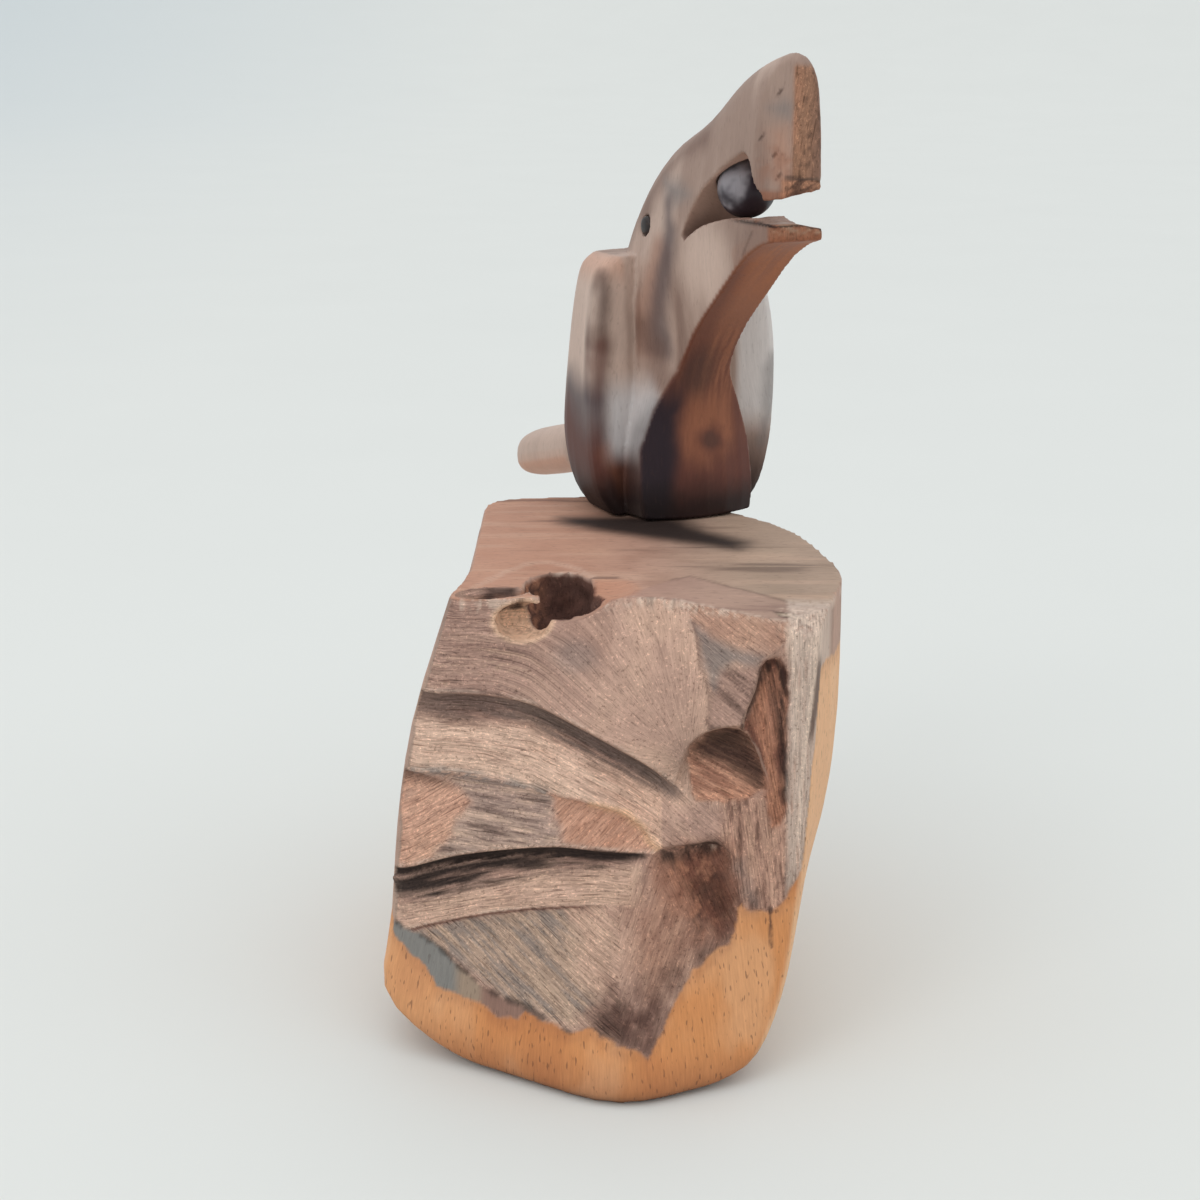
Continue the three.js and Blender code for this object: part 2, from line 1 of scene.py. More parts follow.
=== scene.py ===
import itertools
import math

import bmesh
import bpy
import numpy as np
from mathutils import Matrix, Vector, kdtree


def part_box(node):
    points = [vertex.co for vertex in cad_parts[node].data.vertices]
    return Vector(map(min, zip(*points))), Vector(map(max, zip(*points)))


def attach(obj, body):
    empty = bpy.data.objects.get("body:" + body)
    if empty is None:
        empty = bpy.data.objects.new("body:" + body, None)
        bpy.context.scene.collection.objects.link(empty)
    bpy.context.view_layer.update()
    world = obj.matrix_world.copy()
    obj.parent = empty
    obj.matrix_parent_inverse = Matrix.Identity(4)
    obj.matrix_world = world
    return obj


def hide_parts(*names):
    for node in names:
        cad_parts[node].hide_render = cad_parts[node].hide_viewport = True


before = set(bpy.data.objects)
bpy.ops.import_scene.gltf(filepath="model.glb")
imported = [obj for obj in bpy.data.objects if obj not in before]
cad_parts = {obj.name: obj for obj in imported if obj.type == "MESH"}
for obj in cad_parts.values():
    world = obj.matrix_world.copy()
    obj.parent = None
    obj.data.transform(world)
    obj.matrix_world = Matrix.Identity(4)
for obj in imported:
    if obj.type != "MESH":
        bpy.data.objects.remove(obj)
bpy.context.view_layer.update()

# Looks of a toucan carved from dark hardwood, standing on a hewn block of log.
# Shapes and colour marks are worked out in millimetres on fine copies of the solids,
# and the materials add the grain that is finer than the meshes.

MM = 0.001
SEED = 11

# Size of the faces of the fine copies
BLOCK_VOXEL = 0.7 * MM
BIRD_VOXEL = 0.42 * MM
# Edges of the solids that bend by more than this stay crisp, within this reach in millimetres,
# where the smoothing keeps only a share of its strength
CRISP_ANGLE = math.radians(24)
CRISP_REACH = (0.25, 1.5)
CRISP_SHARE = 0.12
CRISP_STEP = 0.4 * MM
WELD_DISTANCE = 2e-6
# Smoothing pulls in and then out in turn, so that nothing shrinks
SMOOTH_PULLS = (0.5, -0.52)
# Large odd numbers that scatter the cells of the noise
SCATTER = (374761393, 668265263, 1274126177)
SCATTER_SEED = 362437

# Camera as it stood for the photograph
CAMERA_PLACE = (0.0, -298.6, 150.5)
CAMERA_PITCH = 74
CAMERA_LENS = 60
CAMERA_SENSOR = 36
CAMERA_CLIP = (0.01, 20)

# Colours of the paper near and far off, how much darker its blotches are, and where it fades
PAPER = (222, 224, 221)
PAPER_FAR = (204, 211, 213)
PAPER_BLOTCH = 3
PAPER_FADE = (-0.2, -1.3)
PAPER_ROUGHNESS = 0.9
# Radii of the floor's flat and of the bend into its wall, in millimetres, and the bend's turns
FLOOR_RADII = (400, 3000)
WALL_BEND = 4000
WALL_TURNS = [0.12 * i for i in range(1, 7)]
# Light levels at which a colour renders about as it is written
SKY = (0.97, 0.99, 1.0, 1)
HORIZON_LIGHT = 0.56
ZENITH_LIGHT = 1.2
# Softboxes as [place, width and height, power], all aimed at one place
LIGHT_TARGET = (0, 0.01, 0.08)
SOFTBOXES = {
    "window_box": ((-0.5, -0.55, 0.6), (0.35, 0.35), 0.8),
    "right_box": ((0.7, -0.1, 0.45), (0.3, 0.5), 0.18),
}

# Bird's own axes: forward along the beak, to its left, and up from the block's top
BLOCK_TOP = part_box("base_block")[1].z / MM
PERCH = np.array([13.0, 42.0, BLOCK_TOP])
BIRD_TURN = math.radians(27)
FORWARD = np.array([math.sin(BIRD_TURN), -math.cos(BIRD_TURN), 0.0])
LEFTWARD = np.array([math.cos(BIRD_TURN), math.sin(BIRD_TURN), 0.0])

# Lines across the hewn front as [x, drop below the top], from left to right
LEDGE_1 = [(-34, 15.2), (-27.2, 14.5), (-22.1, 13.9), (-17.1, 13.9), (-10.1, 14.8), (-4.1, 17.1),
           (2.9, 20.2), (7.8, 22.9), (11.3, 25.1), (13, 27.4)]
LEDGE_1_FOOT = [(-34, 18), (-23.7, 17.8), (-17.7, 17.6), (-11.8, 18), (-8.1, 19.4), (-3.7, 21), (0, 22.3),
                (5.8, 24.8), (10.2, 26.8), (13, 27.8)]
TONGUE = [(-34, 27.4), (-27.8, 26.6), (-24, 26), (-18, 26.1), (-11.8, 26.6), (-8, 27.2), (-1, 28), (4, 29.4),
          (6.5, 31.6), (8.2, 34)]
LEDGE_2 = [(-34, 43.6), (-28, 41), (-22, 38.5), (-14.6, 36.4), (-6, 34.7), (0, 34.6), (8, 34.8)]
LEDGE_2_STEP = [(-34, 45.6), (-29.1, 43.6), (-24, 41.4), (-17.9, 39.4), (-13.4, 38.2), (-9, 37.2)]
LEDGE_2_FOOT = [(-34, 48.6), (-29.1, 46.8), (-24, 44.6), (-17.8, 41.9), (-11.8, 39.8), (-5.9, 38.2),
                (0, 36.9), (5.8, 35.9), (8, 35.4)]
LEDGE_4 = [(-34, 53), (-28, 50.5), (-24.1, 49), (-17.9, 46.7), (-11.8, 44.9), (-5.9, 43.4), (0, 42.3)]
HEWN_EDGE = [(-34, 49.6), (-31, 50.6), (-27.2, 51.4), (-24.1, 52.7), (-21, 54.8), (-17.9, 56.7),
             (-14.8, 57.7), (-11.8, 58), (-8.1, 59.5), (-4.4, 60.3), (-1.5, 59.3), (1.4, 61), (4.3, 61.7),
             (7.1, 62.8), (8, 61.3), (9.1, 60.1), (9.9, 57.4), (10.9, 55.4), (13.1, 52.1), (16.8, 49.2),
             (19, 48.1), (19.8, 46), (20.4, 43), (22.6, 43.6), (24.9, 44.5), (27.1, 42.5), (29.4, 38.5)]
SAP_FRONT = [(-33, 51.4), (-30.1, 53.2), (-26.4, 55.6), (-24.5, 58.1), (-20.9, 58.5), (-17.9, 59.2),
             (-14.8, 60.5), (-12.5, 60.2), (-11, 58.8), (-8.1, 59.8), *HEWN_EDGE[9:]]
FAN_FOCUS = (13, 22)
FAN_RADIUS = 15

# Outlines on the hewn front as [x, drop]
POCKET = [(12.6, 22.6), (13.1, 20.3), (15.3, 18.4), (18.3, 17.4), (20.5, 17), (22, 19.6), (23.4, 23.1),
          (24.2, 26), (21.1, 27.5), (16.7, 27.4), (13.8, 27.2)]
POCKET_SHADE = [(13.4, 20.8), (15.3, 18.6), (18.3, 17.5), (20.4, 17.2), (21.9, 20.2), (23.2, 23.1),
                (24.2, 26), (23, 26.3), (21.1, 24.5), (18.2, 22.8), (14.6, 21.7)]
CORNER_CUT = [(23.6, 7.6), (25.7, 7.1), (26.9, 9.3), (27.2, 15.8), (27.6, 23.2), (27.8, 29), (25, 31.9),
              (24.4, 27.5), (23.6, 23.6), (22.2, 20.2), (21, 16.9), (22.9, 11.9)]
CORNER_RIDGE = [(23.7, 12), (23.2, 14.3), (23.9, 17.5), (24.6, 21.7), (25.4, 26.1), (25.6, 31)]
CORNER_SHADE = [(23.8, 7.8), (25.6, 7.4), (26.9, 9.6), (27, 15.8), (27.4, 23.2), (27.7, 28), (26.7, 28),
                (26, 20), (25.2, 14), (24.2, 11)]
FAN_CREASE = [(23.4, 9), (23, 11.8), (21.6, 14.8), (20.5, 17.2)]
GREY_WEDGE = [(13.2, 2.9), (16.6, 4.6), (20.1, 6.2), (23.4, 6.9), (22.8, 8.1), (19.4, 7.8), (17.6, 9),
              (16.4, 12), (15.5, 8.4)]
FAN_RIGHT = [(12.4, -3), (13.3, 2.8), (14.6, 8.4), (15.5, 13), (15.5, 18.6), (20.6, 16.8), (22.8, 11.5),
             (23.4, 7), (27.6, 4.4), (27.6, -3)]
MAUVE_FACET = [(16.2, 11), (18, 9), (22.6, 8.6), (22.6, 12), (20.6, 16.8), (16.8, 17.4), (15.4, 17.6)]
LEFT_FACET = [(-34, 28.4), (-29, 27), (-26.2, 27.2), (-22.3, 28), (-19.3, 30), (-22.7, 35.8), (-25.4, 39.6),
              (-34, 43)]
GROOVED_FACET = [(-22.3, 27), (-17.8, 26.4), (-11.8, 26.8), (-7.6, 27.6), (-7.3, 31), (-5.8, 34),
                 (-11.9, 35.6), (-17.9, 37), (-25.4, 39.6), (-22.7, 35.8), (-19.3, 30)]
ORANGE_FACET = [(-7.3, 27.5), (0, 28), (4.6, 29.6), (8, 34), (5.8, 34.5), (0, 34.3), (-5.5, 33.8)]
LOWER_FACET = [(-27.5, 51), (-17.9, 47), (-5.9, 43.8), (-2.5, 47), (-4, 52), (0, 55),
               (-4.4, 59.8), (-14.8, 57.4)]
RED_ZONE = [(4.6, 43), (8.7, 36.5), (13.1, 45), (17.2, 47.2), (13.1, 50.3), (7.5, 54.5), (4.6, 51)]
ROUGH_CORNER = [(8.7, 36), (13.1, 34.4), (17.8, 34.6), (19.8, 40), (20, 46), (17.2, 47.5), (13.1, 45),
                (9.9, 41.4)]
ROUGH_CORE = [(13.4, 39.6), (16.8, 38.8), (19, 43), (18.8, 46.2), (15.1, 43.9)]
LEDGE_3 = [(8.8, 34.6), (13.1, 33.4), (17.6, 33.2), (18, 35.6), (13.1, 36.6), (9.2, 36.6)]
BLUE_RIGHT = [(18.7, 36), (21.1, 36.6), (23.1, 42.7), (20.1, 42.2), (19.5, 39)]
DARK_TIP = [(-2, 60.4), (-0.5, 56.4), (1.7, 53.4), (3.4, 55), (5.8, 53), (9, 52.3), (12.2, 50), (15.3, 48.9),
            (19, 46.9), (19.4, 48.4), (13.1, 52.6), (9.9, 57.2), (9.1, 60.3), (7.2, 63.4), (1.4, 61.6)]
CORNER_EDGE = [(31.2, 3.7), (31, 8.8), (30.8, 13.3), (30, 19), (29.5, 24.9), (29.3, 30.1), (29.1, 35.3)]
CORNER_INNER = [(27.2, 1.9), (27.7, 4.2), (28.1, 10), (28.4, 12.9), (28.4, 20)]
DRIP = [(25.2, 43.6), (25.1, 46.5), (25.2, 49)]
# Outlines on the block's top as [x, y]
# Dark smear in front of the bird's foot: a painted shadow of the bird together with a dark stain
TOP_SHADOW_AND_STAIN = [(-6, 33), (5, 34), (14, 31.5), (17, 24.4), (24, 16), (22, 11.5), (14.6, 15.5),
             (6.6, 20), (0, 24), (-6, 29)]
PIT_APRON = [(-20, -13.6), (-18.1, -8.6), (-15.3, -2.9), (-10.9, 3.7), (-7.8, 4.3), (-3.9, 0.7), (-1.2, -4.6),
             (-6, -14), (-12, -16)]
BEVEL_LINE = [(0.9, -15.6), (5.9, -12.5), (10.6, -6.9), (13.7, -4.6), (18, -9.1),
              (23.6, -14.7), (29.2, -18.1)]
NOTCH = [(24.7, -19.9), (27.5, -20.3), (29.6, -21.2), (31.1, -22.7), (28.8, -22.5), (26, -21.7)]
# Hollows in the top as [middle, half sizes], and outlines beside them as [x, y]
PIT = ((-6.2, -9.2, 67.8), (5.4, 7.6, 8.4))
PIT_SIDE = ((-2.6, -13.4, 69), (3.2, 3, 4.4))
PIT_LIP = ((-11.4, -17, 66.6), (4, 3.6, 2.8))
SCOOP = ((1.4, -11.6, 70), (4.6, 5.6, 3))
GROOVE = [(-21.4, -17.4), (-19, -13.4), (-16.5, -10.2), (-13.2, -9.6), (-11.4, -13),
          (-11.3, -16.6), (-16, -17)]
# Painted shadow line along the back of the scoop
SCOOP_SHADOW = [(-2.6, -5.7), (2.7, -5.7)]

# Edge between dark heartwood and pale sapwood round the sides, as [x, y, height]
SAP_ROUND = [(-31, -20.5, 18.5), (-33, -12, 24), (-31, 8, 30), (-22, 46, 36), (12, 50, 46), (33, 24, 58),
             (37, 5, 61), (36, -10, 60.5), (34, -16.5, 61), (32.3, -21.3, 61.4), (31.2, -23.6, 60),
             (30.6, -24.4, 56), (30, -25.3, 50), (29.5, -26.1, 45), (29.2, -27, 38), (29.1, -27.6, 32.5),
             (20, -32, 26), (0, -38, 10), (-20, -29, 12)]
BLOCK_MIDDLE = (0.0, 5.0)
GRAIN_RADIUS = 35.0
# How far the grain of the top runs aslant
TOP_SLANT = 0.25
# Where the front begins, and from which height up its faces are finest
FRONT_EDGE = -10
FINE_HEIGHT = 2
# How far a face's normal points forward or up where it counts as front, or as level
FRONT_FACING = -0.42
LEVEL_FACING = 0.72
# Height and width of the worn edge round the foot
FOOT_WEAR = (1.3, 0.8)
# Whole millimetres to each side in which the rim of the top is looked for
RIM_BINS = 45

# Patches of the hewn front. A patch's number also sets its grain apart, by a step for each number.
(CORNER, HOLLOW, EDGE, FAN, GROOVED, SWEEP, LEFT, BENEATH,
 UNDERCUT, RIGHT, ROUGH, STRIP, TIP, LOWER, FAN_END) = range(1, 16)
FACE = 60
PATCH_STEP = 5.0
# Way that the tool went in each patch, in degrees down from level
TOOL_WAYS = {CORNER: 80, HOLLOW: 25, EDGE: 90, GROOVED: 2, LEFT: -35, BENEATH: -45, UNDERCUT: 40,
             RIGHT: 82, ROUGH: 65, TIP: 110, LOWER: 35, FAN_END: 36}
# How strongly the tool's lines show in the patches where they are faint
FAINT_LINES = {EDGE: 0.5, FAN_END: 0.5, BENEATH: 0.6, UNDERCUT: 0.6, ROUGH: 0.5, TIP: 0.45}

# Colours as eight-bit red, green and blue
HEART = (180, 147, 131)
HEART_PALE = (204, 170, 148)
STRAW = (222, 188, 166)
HEART_DEEP = (132, 100, 88)
HEART_ROSE = (166, 133, 121)
UMBER = (72, 52, 46)
# Near black, for painted shade in hollows, creases and under ledges, and for dark stains
BLACK_SHADE_AND_STAIN = (30, 23, 23)
SLATE = (122, 116, 114)
STEEL = (126, 125, 122)
STONE = (160, 142, 122)
RUST = (190, 134, 106)
PEACH = (206, 154, 128)
AMBER = (212, 146, 94)
AMBER_DEEP = (194, 126, 78)
AMBER_PALE = (228, 182, 142)
# Pale fibres, and painted highlights along ridges and rims
FIBRE_AND_HIGHLIGHT = (222, 198, 180)
ASH = (198, 178, 164)
SATIN = (154, 130, 118)
SATIN_PALE = (206, 182, 168)
SATIN_DEEP = (110, 84, 74)
# Pale colours for painted sheen, a reflection on the satin wood
SHEEN = (202, 199, 199)
PALE_SHEEN = (206, 202, 200)
SMOKE = (62, 56, 64)
INK = (44, 34, 40)
TAWNY = (162, 100, 66)
CHESTNUT = (142, 90, 66)
MAHOGANY = (92, 54, 46)
END_GRAIN = (146, 108, 86)
# Painted highlight on the ball
BALL_HIGHLIGHT = (158, 152, 156)
EYE_DARK = (38, 28, 26)
# Darkest linear light that a tint may have
TINT_FLOOR = 0.002
# How much brighter the whole bird is than its coats
BIRD_GAIN = 1.06
# How much brighter the lit fibres and how much darker the torn pits are than the wood round them
LIT_FIBRE = (1.7, 1.66, 1.6, 1)
DARK_PIT = (0.42, 0.38, 0.36, 1)

# Marks on the bird. Side views are [forward, up] and front views are [left, up].
FRONT_LINE = [(0.3, 8.4), (5, 8), (12, 7), (19, 7.6), (25.6, 10), (32.8, 15), (39.4, 22), (45.2, 28.6),
              (47.9, 33.2), (48.8, 36), (49.4, 37.7)]
FRONT_HALF = [(0.3, 10.2), (5, 10.8), (12, 10.4), (19, 8), (25.6, 4.9), (49.4, 4.6)]
CROWN_STREAK = [(15.9, 63.7), (9.4, 61.3), (4.7, 58.2), (0.5, 53.6), (-1.5, 50.7)]
HEAD_SMUDGE = [(4.1, 56.6), (10.4, 56.5), (14.4, 54.6), (10.3, 52.7), (5.7, 54.5)]
FLANK_STREAK = [(7.6, 52.5), (9.4, 48.7), (8.8, 45), (7.6, 41), (6.6, 37), (6, 33), (6.2, 29)]
FLANK_LOW = [(2.7, 31.7), (5.2, 28.5), (6.7, 24.5), (8, 22.6)]
BEAK_SMUDGE = [(34, 68.8), (36.2, 70), (37.4, 69.1), (36.9, 67.2), (35, 68)]
BEAK_PINK = [(34.6, 65.3), (36.4, 65.9), (37.6, 61.2), (37.4, 58.3), (35.5, 57.9), (34.7, 61.1)]
BEAK_FLECKS = [(35.5, 71.1), (33.2, 64.5), (35.6, 58.8), (35, 61.9)]
JAW_CRACK = [(31.9, 50.2), (30.5, 48.3), (29.1, 46.3)]
JAW_TOP = 51.6
FLUTE_TOP = [(-15, 40.5), (-15.3, 37.1), (-15.9, 33.9), (-16.3, 29.8)]
FLUTE_LOW = [(-16.3, 29.8), (-16.7, 25.7), (-17, 21)]
WING_SHADE = [(-17, 19.5), (-16.6, 15), (-16.8, 11)]
WING_FOOT = [(-15.5, 12.1), (-13.8, 8.4), (-11.9, 4.6)]
LEFT_EDGE = [(17.2, 25), (16.8, 21.5), (16.4, 16.2), (15.2, 11)]
BELLY_RED = [(-2.2, 20.3), (4.8, 20), (7.4, 14.2), (5.1, 10.3), (-0.9, 8.8), (-4.1, 10.4), (-4, 16.2)]
BELLY_SIDE = [(-7.4, 20.2), (-5.3, 17.1), (-4.9, 12.1), (-6.3, 3), (-11, 3), (-11.2, 8.4), (-9.8, 15.2)]
# Side of the ball that faces the light and gets a painted highlight, and how deep its dents are
BALL_LIT_SIDE = np.array([-0.82, -0.3, 0.49])
BALL_WEAR = 0.06
# Profile of an eye peg as [along, radius], and the bevel at a dowel's ends
EYE_PROFILE = [(-1.5, 0), (-1.5, 1.3), (-1.2, 1.6), (0.9, 1.6), (1.25, 1.45), (1.42, 1.0),
               (1.5, 0.5), (1.5, 0)]
DOWEL_BEVEL = 0.6


def linear(colour):
    """Eight-bit display colour as linear light."""
    part = np.array(colour, float) / 255
    return np.where(part <= 0.04045, part / 12.92, ((part + 0.055) / 1.055) ** 2.4)


def ease(low, high, value):
    """0 at low and 1 at high, smooth between."""
    t = np.clip((value - low) / (high - low), 0, 1)
    return t * t * (3 - 2 * t)


def follow(line, x):
    """Height of a left-to-right line at each x."""
    xs, ys = zip(*line)
    return np.interp(x, xs, ys)


def from_line(points, line):
    """Distance of flat points from a line of joined points."""
    nearest = np.full(len(points), np.inf)
    for start, stop in zip(line[:-1], line[1:]):
        start = np.array(start, float)
        run = np.array(stop, float) - start
        share = np.clip((points - start) @ run / (run @ run), 0, 1)
        away = points - start - share[:, None] * run
        nearest = np.minimum(nearest, np.hypot(away[:, 0], away[:, 1]))
    return nearest


def within(points, corners, soft):
    """1 inside an outline and 0 outside it, easing over a width at its edge."""
    loop = [*corners, corners[0]]
    odd = np.zeros(len(points), bool)
    for (x0, y0), (x1, y1) in zip(loop[:-1], loop[1:]):
        if y0 == y1:
            continue
        spans = (y0 > points[:, 1]) != (y1 > points[:, 1])
        odd ^= spans & (points[:, 0] < x0 + (points[:, 1] - y0) * (x1 - x0) / (y1 - y0))
    signed = np.where(odd, 1, -1) * from_line(points, loop)
    return ease(-soft, soft, signed)


def spot(a, b, at, reach):
    """1 at a place and 0 beyond its reach, given per axis."""
    return ease(1, 0.25, np.hypot((a - at[0]) / reach[0], (b - at[1]) / reach[1]))


def lattice(cells, seed):
    """Repeatable random number from 0 to 1 for each whole-number cell."""
    mixed = (cells.astype(np.int64) * SCATTER).sum(axis=1) + seed * SCATTER_SEED
    mixed = mixed.astype(np.uint32)
    mixed = (mixed ^ (mixed >> 13)) * np.uint32(SCATTER[2])
    return ((mixed ^ (mixed >> 16)) & 0xFFFFFF) / 0xFFFFFF


def cloud(points, size, seed=0):
    """Smooth noise from -1 to 1 with lumps of about one size, given per axis or for all."""
    scaled = points / size
    cell = np.floor(scaled)
    share = scaled - cell
    share = share * share * (3 - 2 * share)
    total = np.zeros(len(points))
    for corner in itertools.product((0, 1), repeat=3):
        weight = np.prod(np.where(corner, share, 1 - share), axis=1)
        total += weight * lattice(cell + corner, SEED + seed)
    return 2 * total - 1


def clouds(points, size, seed=0, count=3):
    """Noise with finer lumps laid over the coarse ones."""
    size = np.array(size, float)
    return sum(cloud(points, size / 2**i, seed + 17 * i) / 2**i for i in range(count))


class Paint:
    """Colour of each point, laid on in coats."""

    def __init__(self, count, colour):
        self.light = np.tile(linear(colour), (count, 1))

    def coat(self, colour, *parts):
        """Lays a colour on by the product of its parts: how thickly, and the masks that it keeps to."""
        self.light += (linear(colour) - self.light) * np.clip(math.prod(parts), 0, 1)[:, None]


def read(mesh, what):
    """Vertex places or normals as rows, places in millimetres."""
    numbers = np.zeros(len(mesh.vertices) * 3, np.float32)
    mesh.vertices.foreach_get(what, numbers)
    rows = numbers.reshape(-1, 3).astype(float)
    return rows / MM if what == "co" else rows


def write_places(mesh, points):
    """Moves a mesh's points to places in millimetres."""
    mesh.vertices.foreach_set("co", (points * MM).astype(np.float32).ravel())
    mesh.update()


def store(mesh, name, values, domain="POINT"):
    """Keeps numbers, rows of three or colours on a mesh's points or corners for its material."""
    if values.ndim == 1:
        layer, field = mesh.attributes.new(name, "FLOAT", domain), "value"
    elif name == "tint":
        layer, field = mesh.attributes.new(name, "FLOAT_COLOR", domain), "color"
        values = np.column_stack([np.clip(values, TINT_FLOOR, 1), np.ones(len(values))])
    else:
        layer, field = mesh.attributes.new(name, "FLOAT_VECTOR", domain), "vector"
    layer.data.foreach_set(field, values.astype(np.float32).ravel())


def keep_looks(mesh, paint, flow, domain="POINT", **amounts):
    """Keeps a piece's tint, the flow of its grain, and how far it is sapwood, hewn and lined."""
    store(mesh, "tint", paint.light)
    store(mesh, "flow", flow, domain)
    for name in ("sap", "hewn", "lined"):
        store(mesh, name, amounts.get(name, np.zeros(len(mesh.vertices))))


def smooth(mesh):
    """Shades all faces of a mesh smooth."""
    mesh.polygons.foreach_set("use_smooth", np.ones(len(mesh.polygons), bool))


def add_piece(name, data):
    """Object in the scene, with a mesh, a light or a camera."""
    piece = bpy.data.objects.new(name, data)
    bpy.context.scene.collection.objects.link(piece)
    return piece


def applied(piece):
    """Replaces a piece's mesh by what its modifiers make of it."""
    graph = bpy.context.evaluated_depsgraph_get()
    made = bpy.data.meshes.new_from_object(piece.evaluated_get(graph))
    piece.modifiers.clear()
    piece.data = made
    return made


def crisp_places(mesh):
    """Tree of points along the edges of a solid that bend sharply."""
    welded = bmesh.new()
    welded.from_mesh(mesh)
    bmesh.ops.remove_doubles(welded, verts=welded.verts, dist=WELD_DISTANCE)
    places = []
    for edge in welded.edges:
        if len(edge.link_faces) == 2 and edge.calc_face_angle(0) > CRISP_ANGLE:
            a, b = (vert.co for vert in edge.verts)
            count = max(2, int((b - a).length / CRISP_STEP))
            places += [a.lerp(b, i / count) for i in range(count + 1)]
    welded.free()
    tree = kdtree.KDTree(len(places))
    for i, place in enumerate(places):
        tree.insert(place, i)
    tree.balance()
    return tree


def relax(mesh, strength, rounds):
    """Evens out small facets without shrinking, by each point's strength."""
    ends = np.zeros(len(mesh.edges) * 2, np.int32)
    mesh.edges.foreach_get("vertices", ends)
    a, b = ends.reshape(-1, 2).T
    count = len(mesh.vertices)
    degree = np.bincount(a, minlength=count) + np.bincount(b, minlength=count)
    points = read(mesh, "co")
    for step in range(rounds):
        pull = SMOOTH_PULLS[step % 2]
        mean = np.empty_like(points)
        for axis in range(3):
            mean[:, axis] = np.bincount(a, points[b, axis], count) + np.bincount(b, points[a, axis], count)
        mean /= degree[:, None]
        points += (pull * strength)[:, None] * (mean - points)
    write_places(mesh, points)


def fine_copy(cad_node, name, voxel, finer=None, rounds=40):
    """Even, fine copy of a solid's surface, with its facets smoothed and its edges crisp."""
    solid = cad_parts[cad_node]
    piece = add_piece(name, solid.data.copy())
    even = piece.modifiers.new("even", "REMESH")
    even.mode = "VOXEL"
    even.voxel_size = voxel
    mesh = applied(piece)
    if finer is not None:
        detail = bmesh.new()
        detail.from_mesh(mesh)
        chosen = [e for e in detail.edges if all(finer(v.co) for v in e.verts)]
        bmesh.ops.subdivide_edges(detail, edges=chosen, cuts=1, use_grid_fill=True)
        detail.to_mesh(mesh)
        detail.free()
    seat = piece.modifiers.new("seat", "SHRINKWRAP")
    seat.target = solid
    mesh = applied(piece)
    tree = crisp_places(solid.data)
    away = np.array([tree.find(v.co)[2] for v in mesh.vertices]) / MM
    relax(mesh, CRISP_SHARE + (1 - CRISP_SHARE) * ease(*CRISP_REACH, away), rounds)
    smooth(mesh)
    mesh.materials.clear()
    return piece


def push(mesh, amount):
    """Moves points along their normals by an amount in millimetres."""
    write_places(mesh, read(mesh, "co") + read(mesh, "normal") * amount[:, None])


def keep_in_box(mesh, points, cad_node):
    """Moves a mesh's points to places, held inside the box of the solid that it stands for."""
    low, high = (np.array(corner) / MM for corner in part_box(cad_node))
    write_places(mesh, np.clip(points, low, high))


def worn_front(points):
    """Place to the side and drop of each point, shaken so that the edges of marks look worn."""
    worn_x = points[:, 0] + 0.4 * clouds(points, 1.8, 301)
    return worn_x, BLOCK_TOP - points[:, 2] + 0.35 * clouds(points, 1.8, 303)


def turn_about(points):
    """Angle of each point round the block's middle."""
    return np.arctan2(points[:, 1] - BLOCK_MIDDLE[1], points[:, 0] - BLOCK_MIDDLE[0])


def front_patch(x, drop):
    """Number of the tool's patch at each place on the hewn front."""
    flat = np.column_stack([x, drop])

    def inside(corners):
        """Whether each place lies inside an outline."""
        return within(flat, corners, 0.1) > 0.5

    patches = [
        (inside(CORNER_CUT), CORNER),
        (inside(POCKET), HOLLOW),
        (x > 27, EDGE),
        (inside(FAN_RIGHT), FAN_END),
        (drop < follow(LEDGE_1, x), FAN),
        (inside(GROOVED_FACET), GROOVED),
        ((drop < follow(TONGUE, x)) & (x < 8.6), SWEEP),
        (inside(LEFT_FACET), LEFT),
        ((drop < follow(LEDGE_2, x)) & (x < 8.4), BENEATH),
        (inside(ROUGH_CORNER), ROUGH),
        ((x > 18) | ((x > 16) & (drop < 29)), RIGHT),
        ((x > 8) & (drop < 36), UNDERCUT),
        ((drop < follow(LEDGE_4, x)) & (x < 4.5), STRIP),
        (x > 3, TIP),
    ]
    return np.select([p[0] for p in patches], [p[1] for p in patches], LOWER)


def front_flow(x, drop, patch):
    """Along and across the tool marks of the hewn front."""
    turn = np.radians(np.select([patch == p for p in TOOL_WAYS], list(TOOL_WAYS.values()), 0))
    along = x * np.cos(turn) + drop * np.sin(turn)
    across = drop * np.cos(turn) - x * np.sin(turn)
    reach_x, reach_y = x - FAN_FOCUS[0], drop - FAN_FOCUS[1]
    around = FAN_RADIUS * np.arctan2(reach_y, -reach_x)
    level = drop - follow(LEDGE_1, x)
    fan_across = level + (around - level) * ease(-16, 2, x)
    fan_along = x + (-np.hypot(reach_x, reach_y) - x) * ease(-16, 2, x)
    curved = [patch == FAN, patch == SWEEP, patch == STRIP]
    along = np.select(curved, [fan_along, x, x], along)
    lines = [fan_across, level, drop - follow(LEDGE_4, x)]
    return along, np.select(curved, lines, across)


def heartwood(points, front):
    """Height above the sapwood's edge, positive in the heartwood."""
    edge = np.array(SAP_ROUND)
    height = np.interp(turn_about(points), turn_about(edge), edge[:, 2], period=2 * math.pi)
    height += (BLOCK_TOP - follow(SAP_FRONT, points[:, 0]) - height) * front
    return points[:, 2] - height + 0.45 * clouds(points, 1.7, 3)


def hollow_of(points, hollow):
    """Distance from a hollow's middle as a share of its half sizes."""
    middle_place, half = hollow
    return np.linalg.norm((points - middle_place) / half, axis=1)


